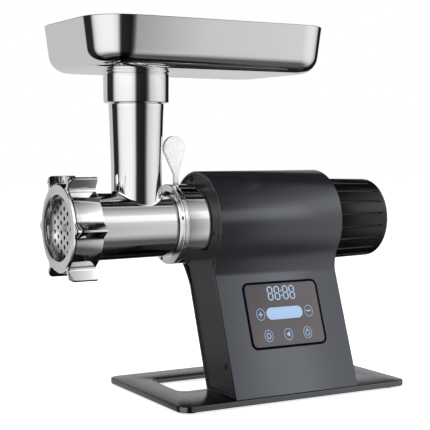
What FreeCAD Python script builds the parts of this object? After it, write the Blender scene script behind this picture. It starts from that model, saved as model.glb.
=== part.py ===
import FreeCAD, Part
import math
import os
import re
import Sketcher

# Countertop meat grinder with a removable feed head.
# Millimetres. +X runs along the barrel axis towards the motor cap, so mince leaves at -X.
# -Y is the side with the control panel and +Z is up.
# The origin is on the surface it stands on, below the middle of the whole machine.
# Sizes along X are measured from the middle of the base plate, and centre_origin() moves
# every finished sub-part from there to the origin.

SIZES = {
    # base
    "foot_height": 2.5, "foot_radius": 8, "foot_inset": 16,
    "base_length": 260, "base_depth": 166, "base_thick": 5.6, "base_corner": 11,
    "base_edge": 0.8, "slot_length": 196, "slot_front": -19, "slot_back": 50, "slot_corner": 10,
    # housing
    "axis_height": 170.5, "housing_half": 70.5, "housing_radius": 51.5, "housing_wall": 3,
    "foot_front": -79.4, "foot_back": -21.5, "lean_angle": 19.6, "waist_blend": 30,
    "foot_overlap": 20, "level_wall": 3.2, "plate_recess": 1.5, "plate_thick": 4, "plate_gap": 0.2,
    "boss_circle": 45.4, "boss_radius": 4.6, "boss_length": 12, "boss_start": 13, "boss_rib": 9.5,
    "low_screw_y": -56, "low_screw_z": 36,
    # fasteners
    "screw_radius": 2, "screw_head": 2.8, "screw_head_thick": 1.2, "screw_length": 14,
    "screw_slack": 0.1, "base_screw_radius": 2.5, "base_screw_head": 4.6, "base_screw_cap": 2.4,
    "base_screw_length": 11, "base_screw_rise": 0.6, "base_screw_sink": 3, "base_screw_bite": 8,
    "base_screw_x": 52, "base_screw_row": 15, "base_screw_slack": 0.15, "sink_slack": 0.4,
    # motor
    "can_radius": 36, "can_wall": 2.5, "can_front": 5, "can_end": 118, "can_floor": 3,
    "bearing_front": 12.2, "bearing_rear": 9, "bearing_thick": 3, "bearing_start": -1,
    "bearing_slack": 0.05, "magnet_radius": 25, "magnet_start": 15, "magnet_end": 95,
    "magnet_gap": 7, "rotor_radius": 3.5, "rotor_start": -21, "rotor_end": 134,
    "core_radius": 23, "core_start": 20, "core_end": 90, "core_slots": 12, "slot_root": 15,
    "slot_half": 1.5, "brush_radius": 11, "brush_start": 95, "brush_end": 108,
    "fan_start": 122, "fan_end": 133, "fan_hub": 7, "fan_radius": 30, "fan_blades": 9,
    "blade_half": 1, "blade_inset": 0.5, "blade_root": 6, "press_gap": 0.02,
    # gearbox
    "gear_module": 1.25, "sun_teeth": 12, "planet_teeth": 18, "ring_teeth": 48,
    "gear_pressure": 25, "gear_backlash": 0.1, "gear_tip": 0.9, "gear_root": 1.15,
    "ring_tip": 0.85, "pin_radius": 3, "pin_bore": 3.06, "carrier_radius": 26, "stub_radius": 6,
    "sun_a_start": -21, "sun_a_length": 14, "planets_a_start": -22, "planets_a_length": 14,
    "sun_b_start": -46.2, "sun_b_length": 16.15, "stub_length": 22.7,
    "planets_b_start": -46, "planets_b_length": 15, "carrier_a_front": -30,
    "carrier_a_back": -23.5, "pins_a_start": -24, "pins_a_length": 16,
    "carrier_b_front": -54, "carrier_b_back": -48, "pins_b_start": -48.5, "pins_b_length": 17.5,
    "cover_front": -65, "cover_back": -55, "ring_back": -3, "bearing_outer": 19,
    # output shaft
    "shaft_radius": 12, "shaft_bearing": 12.06, "shaft_nose": -80, "shaft_hole": 13,
    "socket_half": 6, "socket_end": -66, "tang_half": 5.7, "tang_length": 14,
    # cutting head
    "collar_front": -98.4, "collar_radius": 39, "collar_floor": -74, "collar_hub": 14,
    "spigot_bore": 31.08, "spigot_radius": 31, "head_back": -81, "joint_gap": 0.4,
    "head_flange": 39.2, "flange_thick": 4.6, "flange_blend": 2, "barrel_radius": 31.2,
    "barrel_front": 32.2, "barrel_bore": 27, "bore_end": -100, "mouth_start": -192,
    "mouth_slope": 5, "mouth_radius": 37.9, "mouth_end": -208, "plate_seat": -204,
    "chamber_radius": 31.5, "chamber_start": -194, "chamber_cone": 3,
    "journal_radius": 10, "journal_bore": 10.05, "bush_radius": 13,
    # feed tube
    "feed_x": -135.5, "feed_root": 12, "feed_low": 24.3, "feed_high": 26.1, "feed_lip": 26.4,
    "feed_knee": 56, "feed_shoulder": 110, "lip_rise": 3, "feed_top": 287.5, "feed_bore": 20.5,
    "feed_relief": 21.2, "relief_top": 29.5, "neck_seat": 23.9, "neck_seat_depth": 12,
    "feed_blend": 3, "feed_split": 29, "feed_seat": 30,
    # auger, knife and plate
    "auger_radius": 26.4, "auger_root": 10, "auger_nose": 13, "auger_pitch": 30,
    "auger_start": -103, "auger_end": -190, "flight_thick": 5, "flight_tip": 0.55,
    "flight_sink": 3, "journal_end": 0.5, "knife_half": 5, "knife_slack": 0.05,
    "knife_reach": 29, "knife_back": -197, "knife_front": -203.6, "knife_hub": 10,
    "knife_step": 1.5, "blade_low": 4, "blade_high": 5, "blade_tip_low": 1,
    "blade_tip_high": 4.5, "stud_radius": 3.8, "stud_bore": 3.86, "stud_depth": 12,
    "stud_nose": 0.6, "disc_radius": 35, "disc_slack": 0.08, "disc_thick": 6,
    "disc_hole": 2.15, "disc_pitch": 9, "disc_rings": 3, "key_half": 2, "key_reach": 35.9,
    "key_foot": 2.4, "key_sink": 1, "notch_slack": 0.3, "notch_foot": 2.8, "notch_over": 2,
    # ring nut
    "nut_front": -217, "nut_back": -188, "nut_lip": 7, "nut_opening": 31, "nut_bore": 38.2,
    "nut_radius": 42, "nut_edge": 1.5, "nut_opening_edge": 1, "fin_setback": 0.6,
    "fin_sink": 2, "fin_round": 5, "tab_reach": 54.7, "tab_half": 1.9, "tab_root": 4,
    "ridge_reach": 51, "ridge_half": 7.9, "ridge_tip": 0.9,
    # hopper
    "tray_left": -208, "tray_right": 43, "tray_front": -78, "tray_back": 83,
    "tray_rim": 362.5, "tray_bottom": 317.5, "tray_corner": 38, "tray_draft": 7.5,
    "tray_fillet": 18, "tray_wall": 1.4, "tray_hole": 27, "neck_spigot": 23.84,
    "neck_low": 31.2, "neck_high": 31.4, "neck_bottom": 288, "neck_flange": 32,
    "neck_flange_thick": 1.2, "neck_gap": 0.5, "funnel_rise": 4, "funnel_edge": 1,
    # locking lever
    "lever_x": -93, "lever_low": 209.8, "lever_half": 2.5, "lever_neck": 2.4,
    "lever_shoulder": 219.2, "grip_radius": 11.6, "grip_u": -2.3, "grip_z": 245,
    "grip_left_u": -12.7, "grip_left_z": 239.9, "grip_right_u": 8.84, "grip_right_z": 241.8,
    "lever_blend": 8, "lever_screw_radius": 3, "lever_screw_bore": 3.06,
    "lever_screw_end": 201.8, "lever_hole_depth": 19,
    # motor cap
    "cap_end": 137.7, "cap_radius": 42.5, "cap_tip": 41, "cap_wall": 3, "cap_round": 4,
    "cap_seat": 1, "flute_width": 2.4, "flute_depth": 1.1, "flute_stop": 9, "flute_over": 2,
    "flute_count": 20, "vent_inner": 12, "vent_outer": 30, "vent_half": 1.6, "vent_count": 16,
    # control panel, measured up the leaning front face
    "panel_half": 43.5, "panel_low": 44.8, "panel_high": 111.5, "panel_corner": 7,
    "bezel_width": 2.3, "bezel_height": 1, "glass_height": 0.8, "window_margin": 6,
    "window_lift": 1, "window_depth": 6, "board_thick": 1.6, "board_drop": 9,
    "post_inset": 12, "post_radius": 3,
    # mains inlet
    "inlet_y": -35.5, "inlet_z": 50.5, "inlet_half_y": 14, "inlet_half_z": 10.5,
    "inlet_depth": 22, "inlet_wall": 2, "inlet_gap": 0.2, "inlet_rim": 3, "inlet_lip": 2,
    "inlet_corner": 3, "pin_start": 4, "pin_length": 12, "pin_half_y": 1, "pin_half_z": 2,
    "pin_apart": 7, "pin_offset": 2,
    # drawing aids
    "lift": 1,
}

doc = FreeCAD.newDocument("MeatGrinder")
sheet = doc.addObject("Spreadsheet::Sheet", "Sizes")
for row, (alias, number) in enumerate(SIZES.items(), start=1):
    sheet.set("A%d" % row, alias)
    sheet.set("B%d" % row, str(number))
    sheet.setAlias("B%d" % row, alias)
doc.recompute()

FUNCTIONS = ("sin", "cos", "tan", "sqrt")
NODES = []
TOUCH = 0.01
FLANK_STEPS = 3


# ---------------------------------------------------------------- helpers

def linked(text):
    """Point every size name in an expression at the spreadsheet."""
    return re.sub(r"[a-z][a-z_0-9]+",
                  lambda word: word.group() if word.group() in FUNCTIONS
                  else "Sizes." + word.group(), text)


def value(text):
    """Number that an expression of size names stands for."""
    return float(sheet.evalExpression(linked(str(text))))


def bind(item, field, text):
    item.setExpression(field, linked(str(text)))


def node(name):
    """Body for one sub-part; its label is also its file name."""
    body = doc.addObject("PartDesign::Body", name)
    body.Label = name
    NODES.append(body)
    return body


def place(item, x="0", y="0", z="0"):
    for axis, text in zip("xyz", (x, y, z)):
        bind(item, "Placement.Base." + axis, text)


def sketch_on(body, role, offset="0"):
    """Sketch on one of the body's origin planes, moved along its normal."""
    sketch = body.newObject("Sketcher::SketchObject", body.Name + "_sketch")
    plane = next(item for item in body.Origin.OriginFeatures if item.Role == role)
    sketch.AttachmentSupport = [(plane, "")]
    sketch.MapMode = "FlatFace"
    bind(sketch, "AttachmentOffset.Base.z", offset)
    return sketch


def fix(sketch, kind, geometry, point, text):
    number = sketch.addConstraint(Sketcher.Constraint(kind, geometry, point, value(text)))
    bind(sketch, "Constraints[%d]" % number, text)


def polygon(sketch, points):
    """Closed outline of straight lines with both coordinates of each corner bound."""
    first = sketch.GeometryCount
    count = len(points)
    spots = [FreeCAD.Vector(value(u), value(v), 0) for u, v in points]
    for index in range(count):
        sketch.addGeometry(Part.LineSegment(spots[index], spots[(index + 1) % count]))
    for index in range(count):
        following = first + (index + 1) % count
        sketch.addConstraint(Sketcher.Constraint("Coincident", first + index, 2, following, 1))
    for index, (u, v) in enumerate(points):
        fix(sketch, "DistanceX", first + index, 1, u)
        fix(sketch, "DistanceY", first + index, 1, v)


def circle(sketch, u, v, radius):
    centre = FreeCAD.Vector(value(u), value(v), 0)
    shape = Part.Circle(centre, FreeCAD.Vector(0, 0, 1), value(radius))
    number = sketch.addGeometry(shape)
    fix(sketch, "DistanceX", number, 3, u)
    fix(sketch, "DistanceY", number, 3, v)
    index = sketch.addConstraint(Sketcher.Constraint("Radius", number, value(radius)))
    bind(sketch, "Constraints[%d]" % index, radius)


def box_outline(sketch, left, right, low, high):
    polygon(sketch, [(left, low), (right, low), (right, high), (left, high)])


def rounded_box(sketch, left, right, low, high, corner):
    """Rectangle whose corners are arcs of one bound radius."""
    first = sketch.GeometryCount
    radius = value(corner)
    sides = [(right, high, 0), (left, high, 90), (left, low, 180), (right, low, 270)]
    for u, v, start in sides:
        inner_u = value(u) - math.copysign(radius, math.cos(math.radians(start + 45)))
        inner_v = value(v) - math.copysign(radius, math.sin(math.radians(start + 45)))
        ring = Part.Circle(FreeCAD.Vector(inner_u, inner_v, 0), FreeCAD.Vector(0, 0, 1), radius)
        sketch.addGeometry(Part.ArcOfCircle(ring, math.radians(start), math.radians(start + 90)))
    for index in range(4):
        here = sketch.Geometry[first + index].EndPoint
        there = sketch.Geometry[first + (index + 1) % 4].StartPoint
        sketch.addGeometry(Part.LineSegment(here, there))
    for index in range(4):
        line = first + 4 + index
        following = first + (index + 1) % 4
        sketch.addConstraint(Sketcher.Constraint("Tangent", first + index, 2, line, 1))
        sketch.addConstraint(Sketcher.Constraint("Tangent", line, 2, following, 1))
    for index, (u, v, start) in enumerate(sides):
        across = "-" if u == right else "+"
        along = "-" if v == high else "+"
        fix(sketch, "DistanceX", first + index, 3, "(%s) %s (%s)" % (u, across, corner))
        fix(sketch, "DistanceY", first + index, 3, "(%s) %s (%s)" % (v, along, corner))
    number = sketch.addConstraint(Sketcher.Constraint("Radius", first, radius))
    bind(sketch, "Constraints[%d]" % number, corner)
    for index in range(1, 4):
        sketch.addConstraint(Sketcher.Constraint("Equal", first, first + index))


def volume(body):
    doc.recompute()
    return body.Shape.Volume


def pad(body, sketch, length, reverse=False, taper=None):
    feature = body.newObject("PartDesign::Pad", body.Name + "_pad")
    feature.Profile = (sketch, [""])
    bind(feature, "Length", length)
    feature.Reversed = reverse
    if taper:
        bind(feature, "TaperAngle", taper)
    body.Tip = feature
    doc.recompute()
    return feature


def pocket(body, sketch, length, reverse=False, taper=None):
    """Cut a sketch into the body; a cut that removes nothing is an error."""
    before = volume(body)
    feature = body.newObject("PartDesign::Pocket", body.Name + "_pocket")
    feature.Profile = (sketch, [""])
    bind(feature, "Length", length)
    feature.Reversed = reverse
    if taper:
        bind(feature, "TaperAngle", taper)
    body.Tip = feature
    if volume(body) > before - 1e-3:
        raise RuntimeError("pocket removed nothing: " + body.Label)
    return feature


def revolve(body, sketch, axis="H_Axis"):
    feature = body.newObject("PartDesign::Revolution", body.Name + "_turn")
    feature.Profile = (sketch, [""])
    feature.ReferenceAxis = (sketch, [axis])
    feature.Angle = 360
    body.Tip = feature
    doc.recompute()
    return feature


def polar(body, feature, count, role="X_Axis"):
    """Repeat a feature round one of the body's own axes."""
    pattern = body.newObject("PartDesign::PolarPattern", body.Name + "_pattern")
    pattern.Originals = [feature]
    axis = next(item for item in body.Origin.OriginFeatures if item.Role == role)
    pattern.Axis = (axis, [""])
    pattern.Angle = 360
    bind(pattern, "Occurrences", count)
    body.Tip = pattern
    doc.recompute()
    return pattern


def edges_where(shape, test):
    return ["Edge%d" % number for number, edge in enumerate(shape.Edges, start=1) if test(edge)]


def dress(body, kind, test, size):
    """Fillet or chamfer the edges of the body's tip that pass a test."""
    base = body.Tip
    names = edges_where(base.Shape, test)
    if not names:
        raise RuntimeError("no edges to dress: " + body.Label)
    feature = body.newObject("PartDesign::" + kind, body.Name + "_" + kind.lower())
    feature.Base = (base, names)
    bind(feature, "Radius" if kind == "Fillet" else "Size", size)
    body.Tip = feature
    doc.recompute()
    return feature


def turned(name, points):
    """Body turned about the barrel axis from (x, radius) corners."""
    body = node(name)
    sketch = sketch_on(body, "XZ_Plane")
    polygon(sketch, points)
    revolve(body, sketch)
    place(body, z="axis_height")
    return body


def extruded(name, start, length, draw):
    """Body pushed along +X from a plane at start; draw(sketch) fills its outline."""
    body = node(name)
    sketch = sketch_on(body, "YZ_Plane", start)
    draw(sketch)
    pad(body, sketch, length)
    return body


def on_circle(radius, angle):
    """Expressions for (y, z) at an angle up from the front, about the barrel axis."""
    across = "-(%s) * cos(%s)" % (radius, angle)
    upward = "(%s) * sin(%s)" % (radius, angle)
    return across, upward


def along_x(edge):
    if len(edge.Vertexes) != 2 or edge.Curve.TypeId != "Part::GeomLine":
        return False
    direction = edge.Curve.Direction
    return abs(direction.x) > 0.999


def compound(name, items):
    """One node from several separate solids."""
    group = doc.addObject("Part::Compound", name)
    group.Label = name
    group.Links = items
    NODES.append(group)
    doc.recompute()
    return group


def primitive(kind, name, sizes):
    item = doc.addObject("Part::" + kind, name)
    for field, text in sizes.items():
        bind(item, field, text)
    return item


def boolean(kind, name, base, tool):
    """Cut, Common or Fuse of two objects."""
    result = doc.addObject("Part::" + kind, name)
    result.Label = name
    result.Base = base
    result.Tool = tool
    return result


def turn_to_x(item, backwards=False):
    """Lay a primitive's own axis along the barrel."""
    angle = -90 if backwards else 90
    item.Placement = FreeCAD.Placement(item.Placement.Base,
                                       FreeCAD.Rotation(FreeCAD.Vector(0, 1, 0), angle))


# ---------------------------------------------------------------- base

def base_screw_spots():
    level = "(foot_height + base_thick)"
    middle = "(foot_front + foot_back) / 2"
    return [(side + "base_screw_x", "%s %s base_screw_row" % (middle, row))
            for side in ("-", "") for row in ("-", "+")], level


def make_base():
    body = node("base_plate")
    sketch = sketch_on(body, "XY_Plane", "foot_height")
    rounded_box(sketch, "-base_length / 2", "base_length / 2",
                "-base_depth / 2", "base_depth / 2", "base_corner")
    pad(body, sketch, "base_thick")
    top = value("foot_height + base_thick")
    dress(body, "Chamfer", lambda edge: abs(edge.BoundBox.ZMin - top) < 1e-6
          and edge.BoundBox.ZLength < 1e-6, "base_edge")
    slot = sketch_on(body, "XY_Plane", "foot_height + base_thick")
    rounded_box(slot, "-slot_length / 2", "slot_length / 2", "slot_front", "slot_back",
                "slot_corner")
    pocket(body, slot, "base_thick")
    spots, level = base_screw_spots()
    holes = sketch_on(body, "XY_Plane", level)
    sinks = sketch_on(body, "XY_Plane", "foot_height + base_screw_sink")
    for x, y in spots:
        circle(holes, x, y, "base_screw_radius + base_screw_slack")
        circle(sinks, x, y, "base_screw_head + sink_slack")
    pocket(body, holes, "base_thick")
    pocket(body, sinks, "base_screw_sink")


def make_feet():
    feet = []
    for x_side in ("-", ""):
        for y_side in ("-", ""):
            foot = primitive("Cylinder", "foot", {"Radius": "foot_radius",
                                                  "Height": "foot_height"})
            place(foot, x_side + "(base_length / 2 - foot_inset)",
                  y_side + "(base_depth / 2 - foot_inset)")
            feet.append(foot)
    compound("rubber_feet", feet)


def make_base_screws():
    screws = []
    spots, level = base_screw_spots()
    for x, y in spots:
        head = primitive("Cylinder", "screw_head", {"Radius": "base_screw_head",
                                                    "Height": "base_screw_cap"})
        shank = primitive("Cylinder", "screw_shank", {"Radius": "base_screw_radius",
                                                      "Height": "base_screw_length"})
        for item in (head, shank):
            place(item, x, y, "foot_height + base_screw_rise")
        screws.append(boolean("Fuse", "screw", head, shank))
    compound("base_screws", screws)


# ---------------------------------------------------------------- housing

def pedestal(sketch, rise="0", side="0"):
    """Leaning foot of the housing, drawn in by rise and side; its top is in the round part."""
    low = "foot_height + base_thick + " + rise
    high = "axis_height - foot_overlap"
    front = "foot_front + (%s) + (%s) * tan(lean_angle)" % (side, rise)
    back = "foot_back - (%s) + (%s) * tan(lean_angle)" % (side, rise)
    shift = "(%s - (%s)) * tan(lean_angle)" % (high, low)
    polygon(sketch, [(front, low), (back, low),
                     ("%s + %s" % (back, shift), high), ("%s + %s" % (front, shift), high)])


def screw_spots():
    """End-plate screws: three round the barrel axis and one low in the foot."""
    spots = []
    for turn in (0, 120, 240):
        across, upward = on_circle("boss_circle", "%d - boss_start" % turn)
        spots.append((across, "axis_height + " + upward))
    spots.append(("low_screw_y", "low_screw_z"))
    return spots


def panel_plane(sketch, lift):
    """Lay a front-plane sketch on the leaning face, u across and v up the slope."""
    sketch.AttachmentOffset = FreeCAD.Placement(
        FreeCAD.Vector(), FreeCAD.Rotation(FreeCAD.Vector(1, 0, 0), -value("lean_angle")))
    bind(sketch, "AttachmentOffset.Base.y",
         "foot_height + base_thick + (%s) * sin(lean_angle)" % lift)
    bind(sketch, "AttachmentOffset.Base.z", "-foot_front + (%s) * cos(lean_angle)" % lift)


def make_housing():
    body = node("housing_shell")
    for draw in (lambda s: circle(s, "0", "axis_height", "housing_radius"),
                 pedestal):
        sketch = sketch_on(body, "YZ_Plane", "-housing_half")
        draw(sketch)
        pad(body, sketch, "2 * housing_half")
    centre = value("axis_height")
    radius = value("housing_radius")

    def waist(edge):
        if not along_x(edge):
            return False
        y = edge.Vertexes[0].Y
        z = edge.Vertexes[0].Z - centre
        return z < 0 and abs(math.hypot(y, z) - radius) < TOUCH

    dress(body, "Fillet", waist, "waist_blend")
    hollow = sketch_on(body, "YZ_Plane", "housing_half")
    circle(hollow, "0", "axis_height", "housing_radius - housing_wall")
    pocket(body, hollow, "2 * housing_half")
    hollow = sketch_on(body, "YZ_Plane", "housing_half")
    pedestal(hollow, "housing_wall", "level_wall")
    pocket(body, hollow, "2 * housing_half")
    for end in ("-housing_half + plate_recess + plate_thick",
                "housing_half - plate_recess - plate_thick - boss_length"):
        bosses = sketch_on(body, "YZ_Plane", end)
        for y, z in screw_spots()[:3]:
            circle(bosses, y, z, "boss_radius")
        box_outline(bosses, "low_screw_y - boss_rib", "low_screw_y + boss_radius",
                    "low_screw_z - boss_radius", "low_screw_z + boss_radius")
        pad(body, bosses, "boss_length")
        holes = sketch_on(body, "YZ_Plane", "(%s) + boss_length" % end)
        for y, z in screw_spots():
            circle(holes, y, z, "screw_radius + screw_slack")
        pocket(body, holes, "boss_length")
    window = sketch_on(body, "XZ_Plane")
    panel_plane(window, "window_lift")
    box_outline(window, "-panel_half + window_margin", "panel_half - window_margin",
                "panel_low + window_margin", "panel_high - window_margin")
    pocket(body, window, "window_depth")
    holes = sketch_on(body, "XY_Plane", "foot_height + base_thick + base_screw_bite")
    for x, y in base_screw_spots()[0]:
        circle(holes, x, y, "base_screw_radius + screw_slack")
    pocket(body, holes, "base_screw_bite")


def end_plate(name, start, draw_holes):
    """Plate a hair smaller than the housing's hollow."""
    body = node(name)
    for draw in (lambda s: circle(s, "0", "axis_height",
                                  "housing_radius - housing_wall - plate_gap"),
                 lambda s: pedestal(s, "housing_wall + plate_gap", "level_wall + plate_gap")):
        sketch = sketch_on(body, "YZ_Plane", start)
        draw(sketch)
        pad(body, sketch, "plate_thick")
    holes = sketch_on(body, "YZ_Plane", "(%s) + plate_thick" % start)
    draw_holes(holes)
    for y, z in screw_spots():
        circle(holes, y, z, "screw_radius + screw_slack")
    pocket(body, holes, "plate_thick")


def make_end_plates():
    def front_holes(sketch):
        circle(sketch, "0", "axis_height", "shaft_hole")

    def rear_holes(sketch):
        circle(sketch, "0", "axis_height", "can_radius + plate_gap")
        box_outline(sketch, "inlet_y - inlet_half_y", "inlet_y + inlet_half_y",
                    "inlet_z - inlet_half_z", "inlet_z + inlet_half_z")

    end_plate("front_end_plate", "-housing_half + plate_recess", front_holes)
    end_plate("rear_end_plate", "housing_half - plate_recess - plate_thick", rear_holes)


def plate_screws(name, face, side):
    """Pan-head screws on one end plate, heads outwards."""
    screws = []
    for y, z in screw_spots():
        head = primitive("Cylinder", "plate_screw_head",
                         {"Radius": "screw_head", "Height": "screw_head_thick"})
        shank = primitive("Cylinder", "plate_screw_shank",
                          {"Radius": "screw_radius", "Height": "screw_length"})
        for item in (head, shank):
            turn_to_x(item, backwards=side < 0)
        place(head, face, y, z)
        inner = "(%s) %s screw_length" % (face, "-" if side > 0 else "+")
        place(shank, inner, y, z)
        screws.append(boolean("Fuse", "plate_screw", head, shank))
    compound(name, screws)


# ---------------------------------------------------------------- control panel

def on_panel(body):
    """Lay a body's own XY plane on the leaning face."""
    body.Placement = FreeCAD.Placement(
        FreeCAD.Vector(), FreeCAD.Rotation(FreeCAD.Vector(1, 0, 0), 90 - value("lean_angle")))
    bind(body, "Placement.Rotation.Angle", "90 - lean_angle")
    place(body, y="foot_front", z="foot_height + base_thick")


def make_panel():
    bezel = node("panel_bezel")
    sketch = sketch_on(bezel, "XY_Plane")
    rounded_box(sketch, "-panel_half", "panel_half", "panel_low", "panel_high", "panel_corner")
    rounded_box(sketch, "-panel_half + bezel_width", "panel_half - bezel_width",
                "panel_low + bezel_width", "panel_high - bezel_width",
                "panel_corner - bezel_width")
    pad(bezel, sketch, "bezel_height")
    on_panel(bezel)
    glass = node("panel_glass")
    sketch = sketch_on(glass, "XY_Plane")
    rounded_box(sketch, "-panel_half + bezel_width", "panel_half - bezel_width",
                "panel_low + bezel_width", "panel_high - bezel_width",
                "panel_corner - bezel_width")
    pad(glass, sketch, "glass_height")
    on_panel(glass)
    board = node("control_board")
    sketch = sketch_on(board, "XY_Plane", "-board_drop")
    box_outline(sketch, "-panel_half + window_margin", "panel_half - window_margin",
                "panel_low + window_margin", "panel_high - window_margin")
    pad(board, sketch, "board_thick")
    posts = sketch_on(board, "XY_Plane", "-board_drop + board_thick")
    for side in ("-", ""):
        for high in ("panel_low + post_inset", "panel_high - post_inset"):
            circle(posts, side + "(panel_half - post_inset)", high, "post_radius")
    pad(board, posts, "board_drop - board_thick")
    on_panel(board)


def inlet_outline(sketch, grow, corner=None):
    """Rectangle round the inlet's middle, larger than its opening by grow."""
    sides = ["inlet_y - inlet_half_y - (%s)" % grow, "inlet_y + inlet_half_y + (%s)" % grow,
             "inlet_z - inlet_half_z - (%s)" % grow, "inlet_z + inlet_half_z + (%s)" % grow]
    if corner:
        rounded_box(sketch, *sides, corner)
    else:
        box_outline(sketch, *sides)


def make_inlet():
    """Three-pin appliance inlet set in the rear end plate."""
    body = node("power_inlet")
    face = "housing_half - plate_recess"
    sketch = sketch_on(body, "YZ_Plane", face + " - inlet_depth")
    inlet_outline(sketch, "-inlet_gap")
    pad(body, sketch, "inlet_depth")
    flange = sketch_on(body, "YZ_Plane", face)
    inlet_outline(flange, "inlet_rim", "inlet_corner")
    pad(body, flange, "inlet_lip")
    cavity = sketch_on(body, "YZ_Plane", face + " + inlet_lip")
    inlet_outline(cavity, "-inlet_wall - inlet_gap", "inlet_corner")
    pocket(body, cavity, "inlet_depth - inlet_lip")
    pins = sketch_on(body, "YZ_Plane", face + " - inlet_depth + pin_start")
    for y, z in (("-pin_apart", "-pin_offset"), ("0", "pin_offset"), ("pin_apart", "-pin_offset")):
        box_outline(pins, "inlet_y + (%s) - pin_half_y" % y, "inlet_y + (%s) + pin_half_y" % y,
                    "inlet_z + (%s) - pin_half_z" % z, "inlet_z + (%s) + pin_half_z" % z)
    pad(body, pins, "pin_length")


# ---------------------------------------------------------------- motor and gearbox

def make_motor():
    turned("motor_adapter", [
        ("ring_back", "bearing_front"), ("ring_back", "can_radius"),
        ("can_front", "can_radius"), ("can_front", "bearing_front")])
    turned("motor_can", [
        ("can_front", "bearing_front"), ("can_front", "can_radius"), ("can_end", "can_radius"),
        ("can_end", "bearing_rear"), ("can_end - can_floor", "bearing_rear"),
        ("can_end - can_floor", "can_radius - can_wall"),
        ("can_front + can_floor", "can_radius - can_wall"),
        ("can_front + can_floor", "bearing_front")])
    magnets = turned("stator_magnets", [
        ("magnet_start", "magnet_radius"), ("magnet_start", "can_radius - can_wall"),
        ("magnet_end", "can_radius - can_wall"), ("magnet_end", "magnet_radius")])
    gaps = sketch_on(magnets, "YZ_Plane", "magnet_end")
    box_outline(gaps, "-can_radius", "can_radius", "-magnet_gap", "magnet_gap")
    pocket(magnets, gaps, "magnet_end - magnet_start")
    make_bearings()
    armature = turned("motor_armature", [
        ("rotor_start", "0"), ("rotor_start", "rotor_radius"), ("core_start", "rotor_radius"),
        ("core_start", "core_radius"), ("core_end", "core_radius"), ("core_end", "rotor_radius"),
        ("brush_start", "rotor_radius"), ("brush_start", "brush_radius"),
        ("brush_end", "brush_radius"), ("brush_end", "rotor_radius"),
        ("rotor_end", "rotor_radius"), ("rotor_end", "0")])
    slots = sketch_on(armature, "YZ_Plane", "core_end")
    box_outline(slots, "slot_root", "core_radius + lift", "-slot_half", "slot_half")
    polar(armature, pocket(armature, slots, "core_end - core_start"), "core_slots")
    fan = turned("cooling_fan", [
        ("fan_start", "rotor_radius + press_gap"), ("fan_start", "fan_hub"),
        ("fan_end", "fan_hub"), ("fan_end", "rotor_radius + press_gap")])
    blade = sketch_on(fan, "YZ_Plane", "fan_start + blade_inset")
    box_outline(blade, "blade_root", "fan_radius", "-blade_half", "blade_half")
    polar(fan, pad(fan, blade, "fan_end - fan_start - 2 * blade_inset"), "fan_blades")


def make_bearings():
    """Plain rings at both ends of the rotor shaft."""
    rings = []
    for start, outer in (("bearing_start", "bearing_front"),
                         ("can_end - can_floor", "bearing_rear")):
        ring = primitive("Cylinder", "bearing_ring", {"Radius": outer,
                                                      "Height": "bearing_thick"})
        bore = primitive("Cylinder", "bearing_bore", {"Radius": "rotor_radius + bearing_slack",
                                                      "Height": "bearing_thick"})
        for item in (ring, bore):
            turn_to_x(item)
            place(item, start, "0", "axis_height")
        rings.append(boolean("Cut", "bearing", ring, bore))
    compound("motor_bearings", rings)


def involute(angle):
    return math.tan(angle) - angle


def gear_wire(teeth, tip, root, slack, turn):
    """Closed outline of an involute gear in the YZ plane; slack thins every flank."""
    pressure = math.radians(value("gear_pressure"))
    pitch = value("gear_module") * teeth / 2
    base = pitch * math.cos(pressure)
    flank = []
    start = max(base, root)
    for step in range(FLANK_STEPS + 1):
        radius = start + (tip - start) * step / FLANK_STEPS
        here = math.acos(min(1, base / radius))
        half = math.pi / 2 / teeth + involute(pressure) - involute(here) - slack / pitch
        flank.append((radius, half))
    if root < start:
        flank.insert(0, (root, flank[0][1]))
    points = []
    for tooth in range(teeth):
        middle = turn + 2 * math.pi * tooth / teeth
        for radius, half in flank:
            points.append((radius, middle - half))
        for radius, half in reversed(flank):
            points.append((radius, middle + half))
    corners = [FreeCAD.Vector(0, -radius * math.cos(angle), radius * math.sin(angle))
               for radius, angle in points]
    return Part.makePolygon(corners + corners[:1])


def gear_solid(teeth, turn, length, bore=0):
    """External gear from the origin along +X, with a round bore if one is given."""
    module = value("gear_module")
    pitch = module * teeth / 2
    wire = gear_wire(teeth, pitch + value("gear_tip") * module,
                     pitch - value("gear_root") * module, value("gear_backlash"), turn)
    solid = Part.Face(wire).extrude(FreeCAD.Vector(length, 0, 0))
    if bore:
        drill = Part.makeCylinder(bore, length, FreeCAD.Vector(), FreeCAD.Vector(1, 0, 0))
        solid = solid.cut(drill)
    return solid


def shape_node(name, shape, x=0, y=0, z=0):
    feature = doc.addObject("Part::Feature", name)
    feature.Label = name
    feature.Shape = shape
    feature.Placement = FreeCAD.Placement(FreeCAD.Vector(x, y, value("axis_height") + z),
                                          FreeCAD.Rotation())
    NODES.append(feature)
    return feature


def make_ring_gear():
    module = value("gear_module")
    teeth = int(value("ring_teeth"))
    pitch = module * teeth / 2
    space = gear_wire(teeth, pitch + value("gear_root") * module,
                      pitch - value("ring_tip") * module, -value("gear_backlash"),
                      math.pi / teeth)
    start = value("cover_back")
    length = value("ring_back") - start
    tube = Part.makeCylinder(value("can_radius"), length, FreeCAD.Vector(),
                             FreeCAD.Vector(1, 0, 0))
    inside = Part.Face(space).extrude(FreeCAD.Vector(length, 0, 0))
    shape_node("ring_gear", tube.cut(inside), start)


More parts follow.
